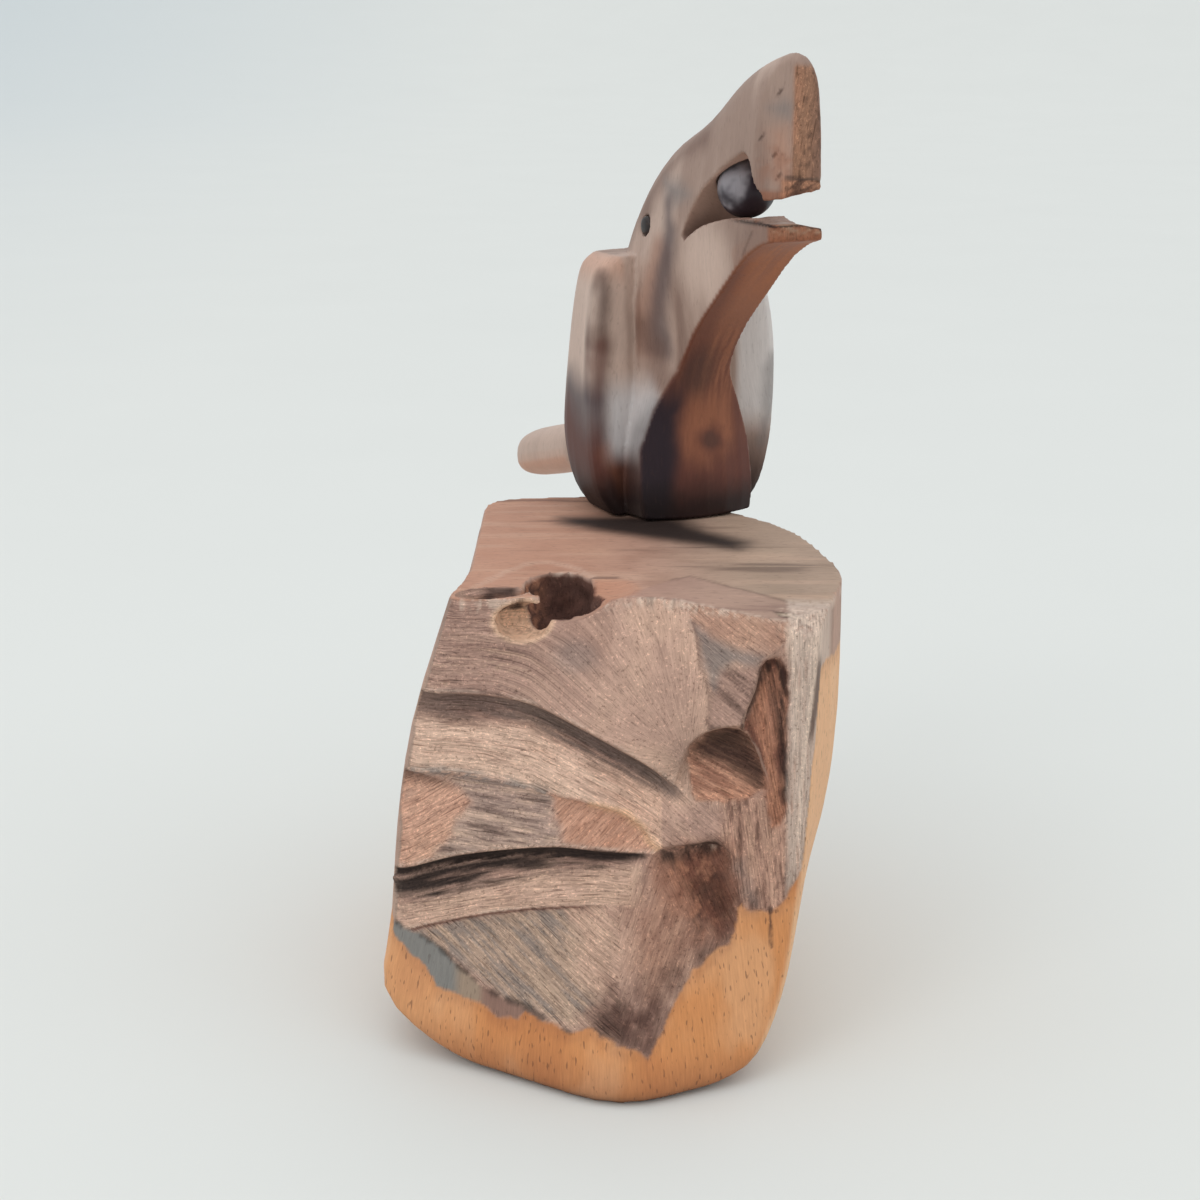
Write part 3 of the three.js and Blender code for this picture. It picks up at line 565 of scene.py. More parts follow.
class Log:
    """Places on the block, and the parts of its surface that they lie in."""

    def __init__(self, mesh):
        self.points, self.normals = read(mesh, "co"), read(mesh, "normal")
        self.x, self.y, self.z = self.points.T
        self.drop = BLOCK_TOP - self.z
        self.front = ease(0.32, 0.6, -self.normals[:, 1]) * ease(-9, -12, self.y)
        self.top = ease(0.72, 0.88, self.normals[:, 2]) * ease(4, 1.5, self.drop)
        worn_x, worn_drop = worn_front(self.points)
        self.flat = np.column_stack([self.x, self.drop])
        self.worn = np.column_stack([worn_x, worn_drop])
        self.plan = np.column_stack([worn_x, self.y])
        self.patch = front_patch(worn_x, worn_drop)
        self.flow = np.column_stack([*front_flow(self.x, self.drop, self.patch), PATCH_STEP * self.patch])
        self.height = heartwood(self.points, self.front)
        self.sap = ease(0.3, -0.3, self.height)
        self.hewn = self.front * ease(-0.4, 0.4, follow(HEWN_EDGE, self.x) - worn_drop) * (1 - self.sap)
        self.lined = np.select([self.patch == p for p in FAINT_LINES], list(FAINT_LINES.values()), 1.0)
        self.lined -= 0.75 * (self.patch == FAN) * ease(-16, -1, self.x + 0.5 * (8 - self.drop))
        self.marks = clouds(self.flow, (13, 1.2, 1), 5) + 0.5 * clouds(self.flow, (6, 0.6, 1), 9, 2)
        self.fibre = clouds(self.flow, (5, 0.5, 1), 15, 2)
        in_pit = hollow_of(self.points, PIT)
        in_hollows = ease(1.12, 1.02, np.minimum(in_pit, hollow_of(self.points, PIT_SIDE)))
        self.pit = in_hollows * ease(0.3, 1, self.drop) * ease(-17.4, -16.8, self.y)
        self.lip = ease(1.3, 1.05, hollow_of(self.points, PIT_LIP)) * ease(0.98, 1.1, in_pit)
        in_groove = ease(0.05, 0.4, self.drop) * ease(2.8, 2.2, self.drop)
        self.groove = within(self.plan, GROOVE, 0.8) * in_groove
        ahead = np.zeros(2 * RIM_BINS)
        bins = np.clip(self.x.astype(int) + RIM_BINS, 0, 2 * RIM_BINS - 1)
        np.minimum.at(ahead, bins, np.where(self.top > 0.5, self.y, 0))
        self.behind_rim = self.y - np.interp(self.x, np.arange(2 * RIM_BINS) - RIM_BINS + 0.5, ahead)

    def inside(self, corners, soft):
        """Share of each place that lies inside an outline on the front, with a worn edge."""
        return self.front * within(self.worn, corners, soft)

    def beside(self, line, far, near):
        """1 near a line on the front and 0 far from it."""
        return self.front * ease(far, near, from_line(self.worn, line))

    def under(self, ridge, foot):
        """Shade under a ledge, crisp at its ridge and broken by fibres toward its foot."""
        width = np.maximum(follow(foot, self.x) - follow(ridge, self.x), 0.4)
        depth = (self.drop - follow(ridge, self.x)) / width
        ends = ease(ridge[-1][0], ridge[-1][0] - 2.5, self.x)
        return self.front * ease(-0.02, 0.1, depth) * ease(1.3, 0.65, depth + 0.3 * self.fibre) * ends


def carve_block(log):
    """Height of the finer carving over the solid's surface."""
    inside = log.inside
    rough = np.maximum(inside(ROUGH_CORNER, 0.8), 0.8 * inside(CORNER_CUT, 0.6))
    rough = np.maximum(rough, 0.7 * inside(DARK_TIP, 0.8))
    step = np.exp(-((log.drop - follow(LEDGE_2_STEP, log.x)) / 0.5) ** 2) * ease(-9, -15, log.x)
    relief = log.hewn * log.lined * (0.1 * log.marks + 0.05 * log.fibre)
    relief += 0.05 * (1 - log.hewn) * clouds(log.points, 7, 21, 2)
    relief += 0.6 * log.front * step - 0.25 * log.hewn * ease(9, 13, log.drop)
    relief += 0.35 * rough * clouds(log.points, (1.3, 1.3, 3), 31) - 0.9 * inside(ROUGH_CORE, 1.4)
    relief -= 0.5 * inside(CORNER_SHADE, 0.5)
    relief += 0.4 * log.pit * clouds(log.points, 2.2, 41) + 0.2 * log.lip * clouds(log.points, 0.9, 43)
    relief -= 0.3 * log.top * within(log.plan, PIT_APRON, 0.5)
    relief += 0.2 * log.groove * clouds(log.points, (3, 0.8, 1), 45)
    return relief * ease(-0.7, -0.3, log.normals[:, 2])


def paint_front(log, coat):
    """Tones that the tools left on the hewn front, with painted shade in its pocket, corner, creases and
    under its ledges, and painted highlights along its ridges.
    """
    inside = log.inside
    x, drop, front, fibre = log.x, log.drop, log.front, log.fibre
    fan = front * (log.patch == FAN)
    coat(HEART_ROSE, 0.6, fan, ease(4, -14, x))
    streaks = clouds(log.flow, (15, 0.4, 1), 61)
    left_fan = fan * ease(-4, -14, x) * ease(4, 8, drop)
    coat(UMBER, 0.5, left_fan, ease(0.45, 0.75, streaks))
    coat(HEART_PALE, 0.5, left_fan, ease(0.3, 0.8, -streaks))
    coat(SLATE, 0.35, fan, spot(x, drop, (-3.6, 8), (5, 3.5)))
    fan_end = front * (log.patch == FAN_END)
    coat(RUST, 0.3, fan_end, ease(8, 4, drop))
    coat(HEART_ROSE, 0.7, inside(MAUVE_FACET, 0.8))
    coat(UMBER, 0.55, inside(MAUVE_FACET, 0.6), ease(0.2, 0.7, clouds(log.flow, (7, 0.8, 1), 63)))
    coat(SLATE, 0.7, inside(GREY_WEDGE, 0.9))
    coat(UMBER, 0.35, fan_end, ease(1.1, 0.1, from_line(log.worn, FAN_RIGHT[1:5])))

    tongue = front * (x < 9) * ease(-0.2, 1.5, drop - follow(LEDGE_1_FOOT, x))
    tongue *= ease(0.2, -0.4, log.worn[:, 1] - follow(TONGUE, x))
    coat(STRAW, 0.8, tongue, ease(-1.1, 0.3, fibre))
    coat(RUST, 0.2, tongue, ease(-2, 6, x))
    coat(PEACH, 0.55, inside(LEFT_FACET, 0.8))
    # Painted shade under the arch of the tongue, on the left facet
    arch_shade = ease(3.4, 0.3, drop - follow(TONGUE, x)) * inside(LEFT_FACET, 0.4)
    coat(UMBER, 0.8, arch_shade, ease(-20, -22, x))
    grooved = inside(GROOVED_FACET, 0.8)
    coat(SLATE, 0.4, grooved)
    coat(UMBER, 0.5, grooved, ease(0.2, 0.7, fibre))
    coat(STRAW, 0.4, grooved, ease(0.1, 0.7, -fibre))
    coat(STEEL, 0.6, log.beside(TONGUE[1:6], 1.4, 0.2), ease(-0.6, 0.3, fibre))
    orange = inside(ORANGE_FACET, 0.8)
    coat(PEACH, 0.7, orange)
    coat(CHESTNUT, 0.25, orange, ease(0, 0.8, fibre))
    coat(AMBER_PALE, 0.5, log.beside(TONGUE[6:], 1.1, 0.2))

    below = ease(0, 1, drop - follow(LEDGE_2_FOOT, x))
    below *= ease(0.3, -0.3, log.worn[:, 1] - follow(LEDGE_4, x))
    coat(HEART_PALE, 0.65, front, below, x < 6, ease(-0.9, 0.4, fibre))
    coat(STONE, 0.5, inside(LOWER_FACET, 1))
    coat(SLATE, 0.55, inside(LOWER_FACET, 0.8), ease(0, 0.6, fibre + 0.4 * ease(-8, -22, x)))
    coat(HEART_PALE, 0.5, front, spot(x, drop, (-1, 49), (7, 9)))
    red = inside(RED_ZONE, 3.4)
    coat(CHESTNUT, 0.5, red)
    coat(MAHOGANY, 0.45, red, ease(-0.3, 0.9, clouds(log.points, (1.6, 1.6, 3), 65, 4)))
    right = front * ease(16, 19, x) * ease(24, 28, drop) * ease(48, 44, drop)
    coat(CHESTNUT, 0.35, right)
    coat(UMBER, 0.5, right, ease(0.15, 0.7, fibre))
    coat(STEEL, 0.35, inside(BLUE_RIGHT, 1.2))
    coat(HEART_ROSE, 0.5, front, spot(x, drop, (15, 30), (5, 4)))

    pocket = inside(POCKET, 0.4)
    coat(RUST, 0.7, pocket)
    coat(MAHOGANY, 0.5, pocket, ease(-0.2, 0.7, fibre))
    # Painted shade in the upper part of the pocket
    coat(UMBER, 0.75, pocket, inside(POCKET_SHADE, 2.6))
    coat(BLACK_SHADE_AND_STAIN, 0.55, pocket, inside(POCKET_SHADE, 1))
    corner = inside(CORNER_CUT, 0.5)
    coat(CHESTNUT, 0.75, corner)
    coat(MAHOGANY, 0.7, corner, ease(-0.3, 0.6, clouds(log.flow, (5, 0.7, 1), 66)))
    coat(RUST, 0.45, log.beside(CORNER_RIDGE, 1.2, 0.2))
    # Painted shade in the corner cut and along the crease of the fan
    coat(BLACK_SHADE_AND_STAIN, 0.85, inside(CORNER_SHADE, 0.7), ease(-1, 0.2, clouds(log.flow, (3, 0.6, 1), 67)))
    coat(BLACK_SHADE_AND_STAIN, 0.7, log.beside(FAN_CREASE, 0.6, 0.1))
    torn = inside(ROUGH_CORNER, 3)
    crumbs = clouds(log.points, (1.6, 1.6, 2.4), 69, 4)
    coat(CHESTNUT, 0.8, torn)
    coat(MAHOGANY, 0.65, torn, ease(-0.7, 0.8, crumbs + 0.12 * (x - 13)))
    coat(UMBER, 0.5, torn, ease(0.2, 0.9, clouds(log.points, 2.4, 70)))
    coat(RUST, 0.6, torn, ease(0.2, 0.9, clouds(log.points, (0.8, 0.8, 1.4), 68)), ease(19, 14, x))
    coat(BLACK_SHADE_AND_STAIN, 0.7, inside(ROUGH_CORE, 3), ease(1, -0.4, crumbs))
    coat(BLACK_SHADE_AND_STAIN, 0.75, inside(LEDGE_3, 0.8), ease(0.9, -0.3, fibre))
    coat(FIBRE_AND_HIGHLIGHT, 0.4, front, spot(x, drop, (16.2, 34.4), (2, 1.4)), ease(0.1, 0.5, fibre))

    # Painted shade under the first and second ledges, reddish to the left of the first
    ledge_1_shade = log.under(LEDGE_1, LEDGE_1_FOOT)
    coat(CHESTNUT, 0.4, ledge_1_shade, ease(-12, -20, x))
    coat(UMBER, 0.62, ledge_1_shade)
    coat(SLATE, 0.25, ledge_1_shade)
    coat(BLACK_SHADE_AND_STAIN, 0.35, ledge_1_shade, ease(-15, -8, x), ease(12, 6, x))
    coat(BLACK_SHADE_AND_STAIN, 0.95, log.under(LEDGE_2, LEDGE_2_FOOT))
    # Painted highlight on the step below the second ledge, painted shade along the fourth ledge, and painted
    # highlights along the ridges of the ledges, broken by fibres
    lit_step = ease(0.55, 0.15, np.abs(drop - follow(LEDGE_2_STEP, x) + 0.2)) * ease(-9, -15, x)
    coat(HEART, 0.75, front, lit_step, ease(-0.6, 0.4, fibre))
    line_4 = ease(0.45, 0.1, np.abs(drop - follow(LEDGE_4, x) - 0.2)) * ease(0, -4, x)
    coat(MAHOGANY, 0.75, front, line_4)
    for ridge in (LEDGE_1, LEDGE_2, LEDGE_4):
        above = follow(ridge, x) - drop
        edge = ease(0.8, 0.3, above) * ease(0, 0.15, above) * (x < ridge[-1][0])
        coat(FIBRE_AND_HIGHLIGHT, 0.35, front, edge, ease(-0.5, 0.4, fibre))


def paint_top(log, coat):
    """Top of the block with its pit, and the pale rim between it and the front, of fibres with a painted
    highlight; painted shade in the pit and the groove, a painted shadow along the scoop, and a painted shadow
    of the bird together with a dark stain.
    """
    x, y, drop, top = log.x, log.y, log.drop, log.top
    streaks = clouds(np.column_stack([x + TOP_SLANT * y, y, 0 * x]), (26, 2.2, 9), 59)
    coat(RUST, 0.6, top, ease(20, -12, x))
    coat(STONE, 0.6, top, ease(4, 26, x))
    coat(UMBER, 0.5, top, ease(0.5, 0.95, streaks))
    coat(HEART_PALE, 0.3, top, ease(0.3, 0.9, -streaks))
    # Painted shadow of the bird on the top, together with a dark stain
    coat(UMBER, 0.6, top, within(log.plan, TOP_SHADOW_AND_STAIN, 5))
    coat(BLACK_SHADE_AND_STAIN, 0.92, top, within(log.plan, TOP_SHADOW_AND_STAIN, 3))
    bevel = top * ease(-0.2, 0.5, follow(BEVEL_LINE, x) - y) * ease(0, 2, x)
    coat(HEART_ROSE, 0.5, bevel)
    coat(UMBER, 0.4, top, ease(0.6, 0.1, from_line(log.plan, BEVEL_LINE[2:])))
    # Painted highlight along the ridge of the apron round the pit
    coat(FIBRE_AND_HIGHLIGHT, 0.22, top, ease(1, 0.1, from_line(log.plan, PIT_APRON[:7])))
    cut = within(log.plan, NOTCH, 0.3)
    notch = cut * ease(4, 2, drop)
    coat(UMBER, 0.8, notch)
    coat(STONE, 0.7, cut, ease(0.25, 0.6, from_line(log.plan, NOTCH)), notch)

    # Pale fibres with a painted highlight along the rim, and dark ticks
    rim = ease(1.1, 0.2, np.abs(log.behind_rim + 0.1)) * ease(2.4, 1, drop)
    coat(FIBRE_AND_HIGHLIGHT, 0.6, rim, ease(-0.4, 0.5, clouds(log.points, (0.5, 0.8, 1.2), 71)))
    ticks = cloud(np.column_stack([x, 0 * x, 0 * x]), 0.45, 72)
    coat(UMBER, 0.4, rim, ease(4, 6, x), ease(17, 12, x), ease(0.1, 0.5, ticks))
    corner = ease(26.8, 27.8, x) * ease(46, 38, drop) * ease(-15, -18, y)
    lines = clouds(np.column_stack([log.z, 2 * x, 2 * y]), (14, 0.8, 0.8), 79)
    coat(ASH, 0.8, corner, ease(-1.8, 0.2, lines))
    to_edge = from_line(log.flat, CORNER_EDGE)
    beyond = x - np.interp(drop, *zip(*[(d, a) for a, d in CORNER_EDGE]))
    near_side = ease(-20, -22, y)
    coat(FIBRE_AND_HIGHLIGHT, 0.75, ease(0.5, 0.15, to_edge), ease(36, 30, drop), near_side)
    edge_dark = ease(0.3, 0.6, beyond) * ease(1.4, 1, beyond) * ease(21, 18, drop) * ease(6, 9, drop)
    coat(UMBER, 0.7, edge_dark, near_side)
    coat(FIBRE_AND_HIGHLIGHT, 0.5, ease(0.5, 0.15, from_line(log.flat, CORNER_INNER)), corner)
    coat(FIBRE_AND_HIGHLIGHT, 0.6, ease(25, 27.5, x), ease(-18, -20, y), ease(9, 4, drop), ease(-0.2, 0.5, lines))

    coat(RUST, 0.5, ease(1.15, 0.8, hollow_of(log.points, SCOOP)), 1 - log.front)
    coat(MAHOGANY, 0.8, log.pit)
    # Painted shade, darker deeper in the pit
    coat(BLACK_SHADE_AND_STAIN, 0.4, log.pit, ease(-0.8, 0.1, clouds(log.points, 1.6, 73)), ease(0.8, 3, drop))
    coat(RUST, 0.75, log.pit, ease(-7.5, -10.5, x), ease(-0.4, 0.4, clouds(log.points, 0.9, 74)))
    coat(STRAW, 0.95, log.lip)
    coat(AMBER_PALE, 0.4, log.lip)
    coat(UMBER, 0.35, log.lip, ease(0.3, 0.7, clouds(log.points, 0.7, 75)))
    # Painted shade in the groove
    coat(UMBER, 0.7, log.groove)
    coat(BLACK_SHADE_AND_STAIN, 0.9, log.groove, ease(-0.6, 0.2, clouds(log.points, (5, 0.9, 1), 78)))
    # Painted shadow along the back of the scoop
    coat(UMBER, 0.7, top, ease(0.9, 0.1, from_line(log.plan, SCOOP_SHADOW)))


def paint_sapwood(log, paint):
    """Smooth heartwood below the hewn part, the stained tip and the pale sapwood, with a painted highlight on
    its right side and painted shade toward the floor.
    """
    x, drop, front = log.x, log.drop, log.front
    bare = front * (1 - log.hewn) * (1 - log.sap) * ease(-8, -11, x)
    paint.coat(HEART_DEEP, 0.8, bare)
    paint.coat(STONE, 0.75, bare, ease(-17, -18.5, x))
    paint.coat(STEEL, 0.9, bare, ease(-20.5, -22.5, x))
    stain = clouds(log.points, (2.6, 2.6, 4), 77, 4)
    paint.coat(MAHOGANY, 0.75, log.inside(DARK_TIP, 3.4), ease(-2, 0.2, stain))
    paint.coat(BLACK_SHADE_AND_STAIN, 0.55, log.inside(DARK_TIP, 2.4), ease(-1.1, 0.6, stain))
    tone = clouds(log.points, (7, 7, 12), 81)
    sapwood = Paint(len(x), AMBER)
    sapwood.coat(AMBER_DEEP, 0.5 * ease(0, 0.8, tone) + 0.25 * front)
    # Pale tone at random, and a painted highlight on faces toward the right, where the light falls
    sapwood.coat(AMBER_PALE, 0.35 * ease(0, 0.8, -tone) + 0.85 * ease(0.55, 0.9, log.normals[:, 0]))
    sapwood.coat(AMBER_PALE, 0.25, ease(-18, -28, x))
    # Painted shade: the sapwood darkens toward the floor
    sapwood.coat(CHESTNUT, 0.45, ease(8, 1.5, log.z))
    sapwood.coat(UMBER, 0.5, ease(2.4, 0.2, log.z))
    patchy = 0.6 + 0.4 * ease(-0.3, 0.4, clouds(log.points, 1.2, 83))
    sapwood.coat(CHESTNUT, 0.3, ease(-2.6, -0.2, log.height), patchy)
    paint.light += (sapwood.light - paint.light) * log.sap[:, None]
    away = from_line(log.flat, HEWN_EDGE[1:10])
    teeth = clouds(np.column_stack([x + 0.5 * drop, 0.6 * drop, 0 * x]), (1.3, 1.3, 1), 85)
    paint.coat(BLACK_SHADE_AND_STAIN, 0.65, front, ease(0.6 + 0.4 * teeth, 0.05, away), ease(-0.7, 0.4, teeth))
    paint.coat(UMBER, 0.7, log.beside(DRIP, 0.35, 0.1))


def block_grain(mesh):
    """Flow along and across the grain for each corner of each face, so patches meet crisply."""
    faces, corners = len(mesh.polygons), len(mesh.loops)
    centres, facing = np.zeros(3 * faces, np.float32), np.zeros(3 * faces, np.float32)
    mesh.polygons.foreach_get("center", centres)
    mesh.polygons.foreach_get("normal", facing)
    centres, facing = centres.reshape(-1, 3).astype(float) / MM, facing.reshape(-1, 3)
    sizes, owners = np.zeros(faces, np.int32), np.zeros(corners, np.int32)
    mesh.polygons.foreach_get("loop_total", sizes)
    mesh.loops.foreach_get("vertex_index", owners)
    face = np.repeat(np.arange(faces), sizes)
    points = read(mesh, "co")[owners]
    worn_x, worn_drop = worn_front(centres)
    front = (facing[:, 1] < FRONT_FACING) & (centres[:, 1] < FRONT_EDGE)
    hewn = front & (worn_drop < follow(HEWN_EDGE, worn_x))
    level = np.abs(facing[:, 2]) > LEVEL_FACING
    patch = np.where(hewn, front_patch(worn_x, worn_drop), FACE)[face]
    along, across = front_flow(points[:, 0], BLOCK_TOP - points[:, 2], patch)
    turn = turn_about(points)
    turn += 2 * math.pi * np.round((turn_about(centres)[face] - turn) / (2 * math.pi))
    kinds = [hewn[face], level[face]]
    along = np.select(kinds, [along, points[:, 0] + TOP_SLANT * points[:, 1]], points[:, 2])
    across = np.select(kinds, [across, points[:, 1]], GRAIN_RADIUS * turn)
    return np.column_stack([along, across, PATCH_STEP * patch])


def make_block():
    """Block of log, carved and painted on a copy that is finest on its front."""

    def on_front(place):
        """Whether a place is on the front, above the foot."""
        return place.y < FRONT_EDGE * MM and place.z > FINE_HEIGHT * MM

    piece = fine_copy("base_block", "hewn_block", BLOCK_VOXEL, on_front)
    mesh = piece.data
    log = Log(mesh)
    push(mesh, carve_block(log))
    points = read(mesh, "co")
    inward = FOOT_WEAR[1] * ease(FOOT_WEAR[0], 0, points[:, 2])
    outward = points[:, :2] - BLOCK_MIDDLE
    points[:, :2] -= inward[:, None] * outward / np.linalg.norm(outward, axis=1)[:, None]
    keep_in_box(mesh, points, "base_block")

    paint = Paint(len(points), HEART)
    broad = clouds(log.points, 9, 51)
    paint.coat(HEART_PALE, 0.45, ease(0, 0.9, broad))
    paint.coat(HEART_DEEP, 0.45, ease(0, 0.9, -broad))
    sides = (1 - log.front) * (1 - log.top)
    rings = clouds(np.column_stack([log.x, log.y, 0.15 * log.z]), (4, 4, 7), 55)
    paint.coat(UMBER, 0.3, ease(0.2, 1, rings), sides)
    paint.coat(HEART_DEEP, 0.4, log.hewn, log.lined, ease(0.1, 0.8, log.fibre))
    paint.coat(HEART_PALE, 0.45, log.hewn, log.lined, ease(0.1, 0.8, -log.fibre))
    gain = 0.1 * clouds(log.points, 1.5, 57, 2) + 0.14 * (log.patch != FAN_END)
    paint.light *= (1 + log.hewn * gain)[:, None]
    paint_front(log, paint.coat)
    paint_top(log, paint.coat)
    paint_sapwood(log, paint)
    torn = np.clip(np.maximum(log.hewn, log.pit), 0, 1)
    keep_looks(mesh, paint, block_grain(mesh), "CORNER", sap=log.sap, hewn=torn, lined=log.lined * log.hewn)
    return piece


class Bird:
    """Places on the bird in its own axes, and the parts of it that they lie in."""

    def __init__(self, mesh):
        points, normals = read(mesh, "co"), read(mesh, "normal")
        away = points - PERCH
        u, v, w = away @ FORWARD, away @ LEFTWARD, away[:, 2]
        self.u, self.v, self.w = u, v, w
        self.body = np.column_stack([u, v, w])
        self.side = np.column_stack([u, w])
        self.face = np.column_stack([v, w])
        self.nose, self.leftness, self.rise = normals @ FORWARD, normals @ LEFTWARD, normals[:, 2]
        bend = 2.2 * clouds(self.body, (14, 14, 30), 101, 2)
        self.flow = np.column_stack([w, 0.8 * u + 0.6 * v + bend, 0.6 * u - 0.8 * v])
        front, half = follow(FRONT_LINE, w), follow(FRONT_HALF, w)
        self.breast = ease(-1.4, -0.5, u - front + 5 * ease(44, 47.5, w))
        self.breast *= ease(half + 0.35, half - 0.25, np.abs(v))
        self.breast *= ease(-0.1, 0.25, np.maximum(self.nose, -self.rise))
        self.breast *= ease(52.6, 51.8, w) * ease(0.6, 0.3, self.rise)
        self.beak_end = ease(37.1, 37.6, u) * ease(58.2, 58.7, w) * ease(75.5, 74.5, w)
        self.hook_face = ease(58.5, 58.1, w) * ease(35.6, 36.4, u) * ease(53.5, 54.2, w)
        self.hook_edge = ease(57, 56, w) * ease(32.4, 33.4, u) * ease(53.5, 54.2, w)
        self.jaw_end = ease(36, 36.9, u) * ease(48.8, 49.3, w) * ease(53, 52.4, w)
        self.mouth = ease(11.5, 13, u) * ease(34, 32, u)
        self.mouth *= ease(46.5, 47.5, w) * ease(58.5, 57.5, w - 0.3 * (u - 13))
        self.mouth *= ease(0.75, 0.35, np.abs(self.leftness)) * (1 - self.breast)
        self.near = ease(0.5, -0.5, v)

    def along(self, places, line, reach):
        """1 on a line and 0 beyond a reach from it, in whichever two axes the places are."""
        worn = 0.2 * reach * clouds(self.body, 1.5 * reach, 119)
        return ease(reach, 0, from_line(places, line) + worn)


def paint_flanks(bird, coat):
    """Streaks and smudges of the satin wood on the head, the flanks and the wings, with painted sheen between
    the near wing and the breast and on the front of the far wing.
    """
    u, v, w, near = bird.u, bird.v, bird.w, bird.near
    side, face, along = bird.side, bird.face, bird.along
    wing = ease(10, 11.5, np.abs(v)) * ease(45, 43, w)
    flank = near * (1 - wing) * ease(0.1, 0.5, -bird.leftness)
    coat(SATIN_DEEP, 0.65, near, along(side, CROWN_STREAK, 4))
    coat(SLATE, 0.7, near, within(side, HEAD_SMUDGE, 2))
    coat(SATIN_PALE, 0.7, spot(u, w, (19, 44), (11, 10)), ease(0.3, 0.7, np.abs(bird.leftness)))
    behind = np.column_stack([u + 2.4, w])
    coat(CHESTNUT, 0.45, flank, along(behind, FLANK_STREAK[2:], 4))
    coat(SMOKE, 0.65, flank, along(side, FLANK_STREAK, 3.4))
    coat(SATIN_DEEP, 0.6, flank, along(side, FLANK_LOW, 4))
    coat(SLATE, 0.6, near, within(side, BEAK_SMUDGE, 1.4))
    coat(RUST, 0.4, near, within(side, BEAK_PINK, 2))
    leaning = u - 0.6 * w
    for forth, up in BEAK_FLECKS:
        coat(UMBER, 0.8, near, spot(leaning, w, (forth - 0.6 * up, up), (0.35, 0.9)))
    coat(UMBER, 0.45, near, along(side, JAW_CRACK, 0.5))

    right, left = wing * near, wing * (1 - near)
    left_front = left * ease(-0.05, 0.35, bird.nose)
    forward = ease(-1.5, 1.5, u)
    coat(SATIN_PALE, 0.65, wing, ease(8, 26, w))
    coat(RUST, 0.4, wing, ease(38, 43, w))
    coat(UMBER, 0.75, right, forward, along(face, FLUTE_TOP, 3))
    coat(SATIN_DEEP, 0.6, right, forward, along(face, FLUTE_LOW, 4))
    coat(MAHOGANY, 0.55, right, forward, along(face, FLUTE_LOW, 2))
    coat(SMOKE, 0.8, right, along(face, WING_SHADE, 7), ease(-17, -9, u))
    gap = ease(6.5, 8, np.abs(v)) * ease(17, 13, np.abs(v)) * ease(0.5, 2, u)
    low = ease(21, 11, w + 0.3 * (u + 2) + 1.2 * clouds(bird.body, 5, 117))
    coat(MAHOGANY, 0.92, right, low)
    # Painted sheen, a pale reflection, between the near wing and the breast
    coat(SHEEN, 0.85, gap, near, ease(8, 13, w), ease(26, 19, w))
    coat(BLACK_SHADE_AND_STAIN, 0.55, right, ease(11, 3, w))
    coat(CHESTNUT, 0.35, forward, near, along(face, WING_FOOT, 2.4))
    # Painted sheen on the front of the far wing
    coat(PALE_SHEEN, 0.8, left_front, ease(11, 18, w))
    coat(SLATE, 0.6, left_front, along(face, LEFT_EDGE, 2.6))
    coat(UMBER, 0.8, left, ease(15, 5, w))
    coat(SATIN_PALE, 0.6, ease(-24, -30, u))
    coat(RUST, 0.6, ease(-26, -30, u), ease(0.1, -0.5, bird.rise))


def paint_breast(bird, coat):
    """Reddish face of the throat and the belly, darker toward the foot, with painted shade round the bird's
    foot where it meets the block.
    """
    u, v, w, breast = bird.u, bird.v, bird.w, bird.breast
    coat(CHESTNUT, 0.97, breast)
    grain = clouds(np.column_stack([u + w, 3 * v, 0 * u]), (9, 1.6, 1), 123)
    coat(TAWNY, 0.75, breast, ease(33, 46, w), ease(-0.6, 0.7, grain + 0.15 * v))
    coat(MAHOGANY, 0.57, breast, ease(0.8, -3.2, v + 0.05 * (w - 30)), ease(49, 42, w))
    coat(MAHOGANY, 0.65, breast, ease(38, 27, w), ease(-1.2, 0.6, grain))
    coat(UMBER, 0.6, breast, spot(v, w, (-1.4, 25), (5, 7)))
    coat(CHESTNUT, 0.8, breast, within(bird.face, BELLY_RED, 3))
    swirl = np.hypot(v - 1.5, 1.1 * (w - 13)) + 1.2 * clouds(bird.body, 3.4, 121)
    coat(MAHOGANY, 0.75, breast, ease(4.6, 0.5, swirl))
    coat(UMBER, 0.6, breast, ease(2.4, 0.2, swirl))
    coat(MAHOGANY, 0.7, breast, ease(5, 8, v), ease(26, 18, w))
    low = ease(12.5, 6, w - 0.25 * np.abs(v) + 1.4 * clouds(bird.body, 6, 125))
    coat(MAHOGANY, 0.85, breast, low)
    shadow_side = ease(-2.6, -6.4, v + 1.2 * clouds(bird.body, 5, 129) - 0.12 * (w - 14))
    coat(INK, 0.95, shadow_side, breast, ease(27, 18, w))
    coat(INK, 0.9, bird.near, within(bird.face, BELLY_SIDE, 1.6), ease(2.5, 4.5, u))
    # Painted shade round the bird's foot, where it meets the block
    foot = ease(8.5, 1.5, w + 1.4 * clouds(bird.body, 6, 127))
    coat(BLACK_SHADE_AND_STAIN, 0.88, foot, ease(-22, -12, u))


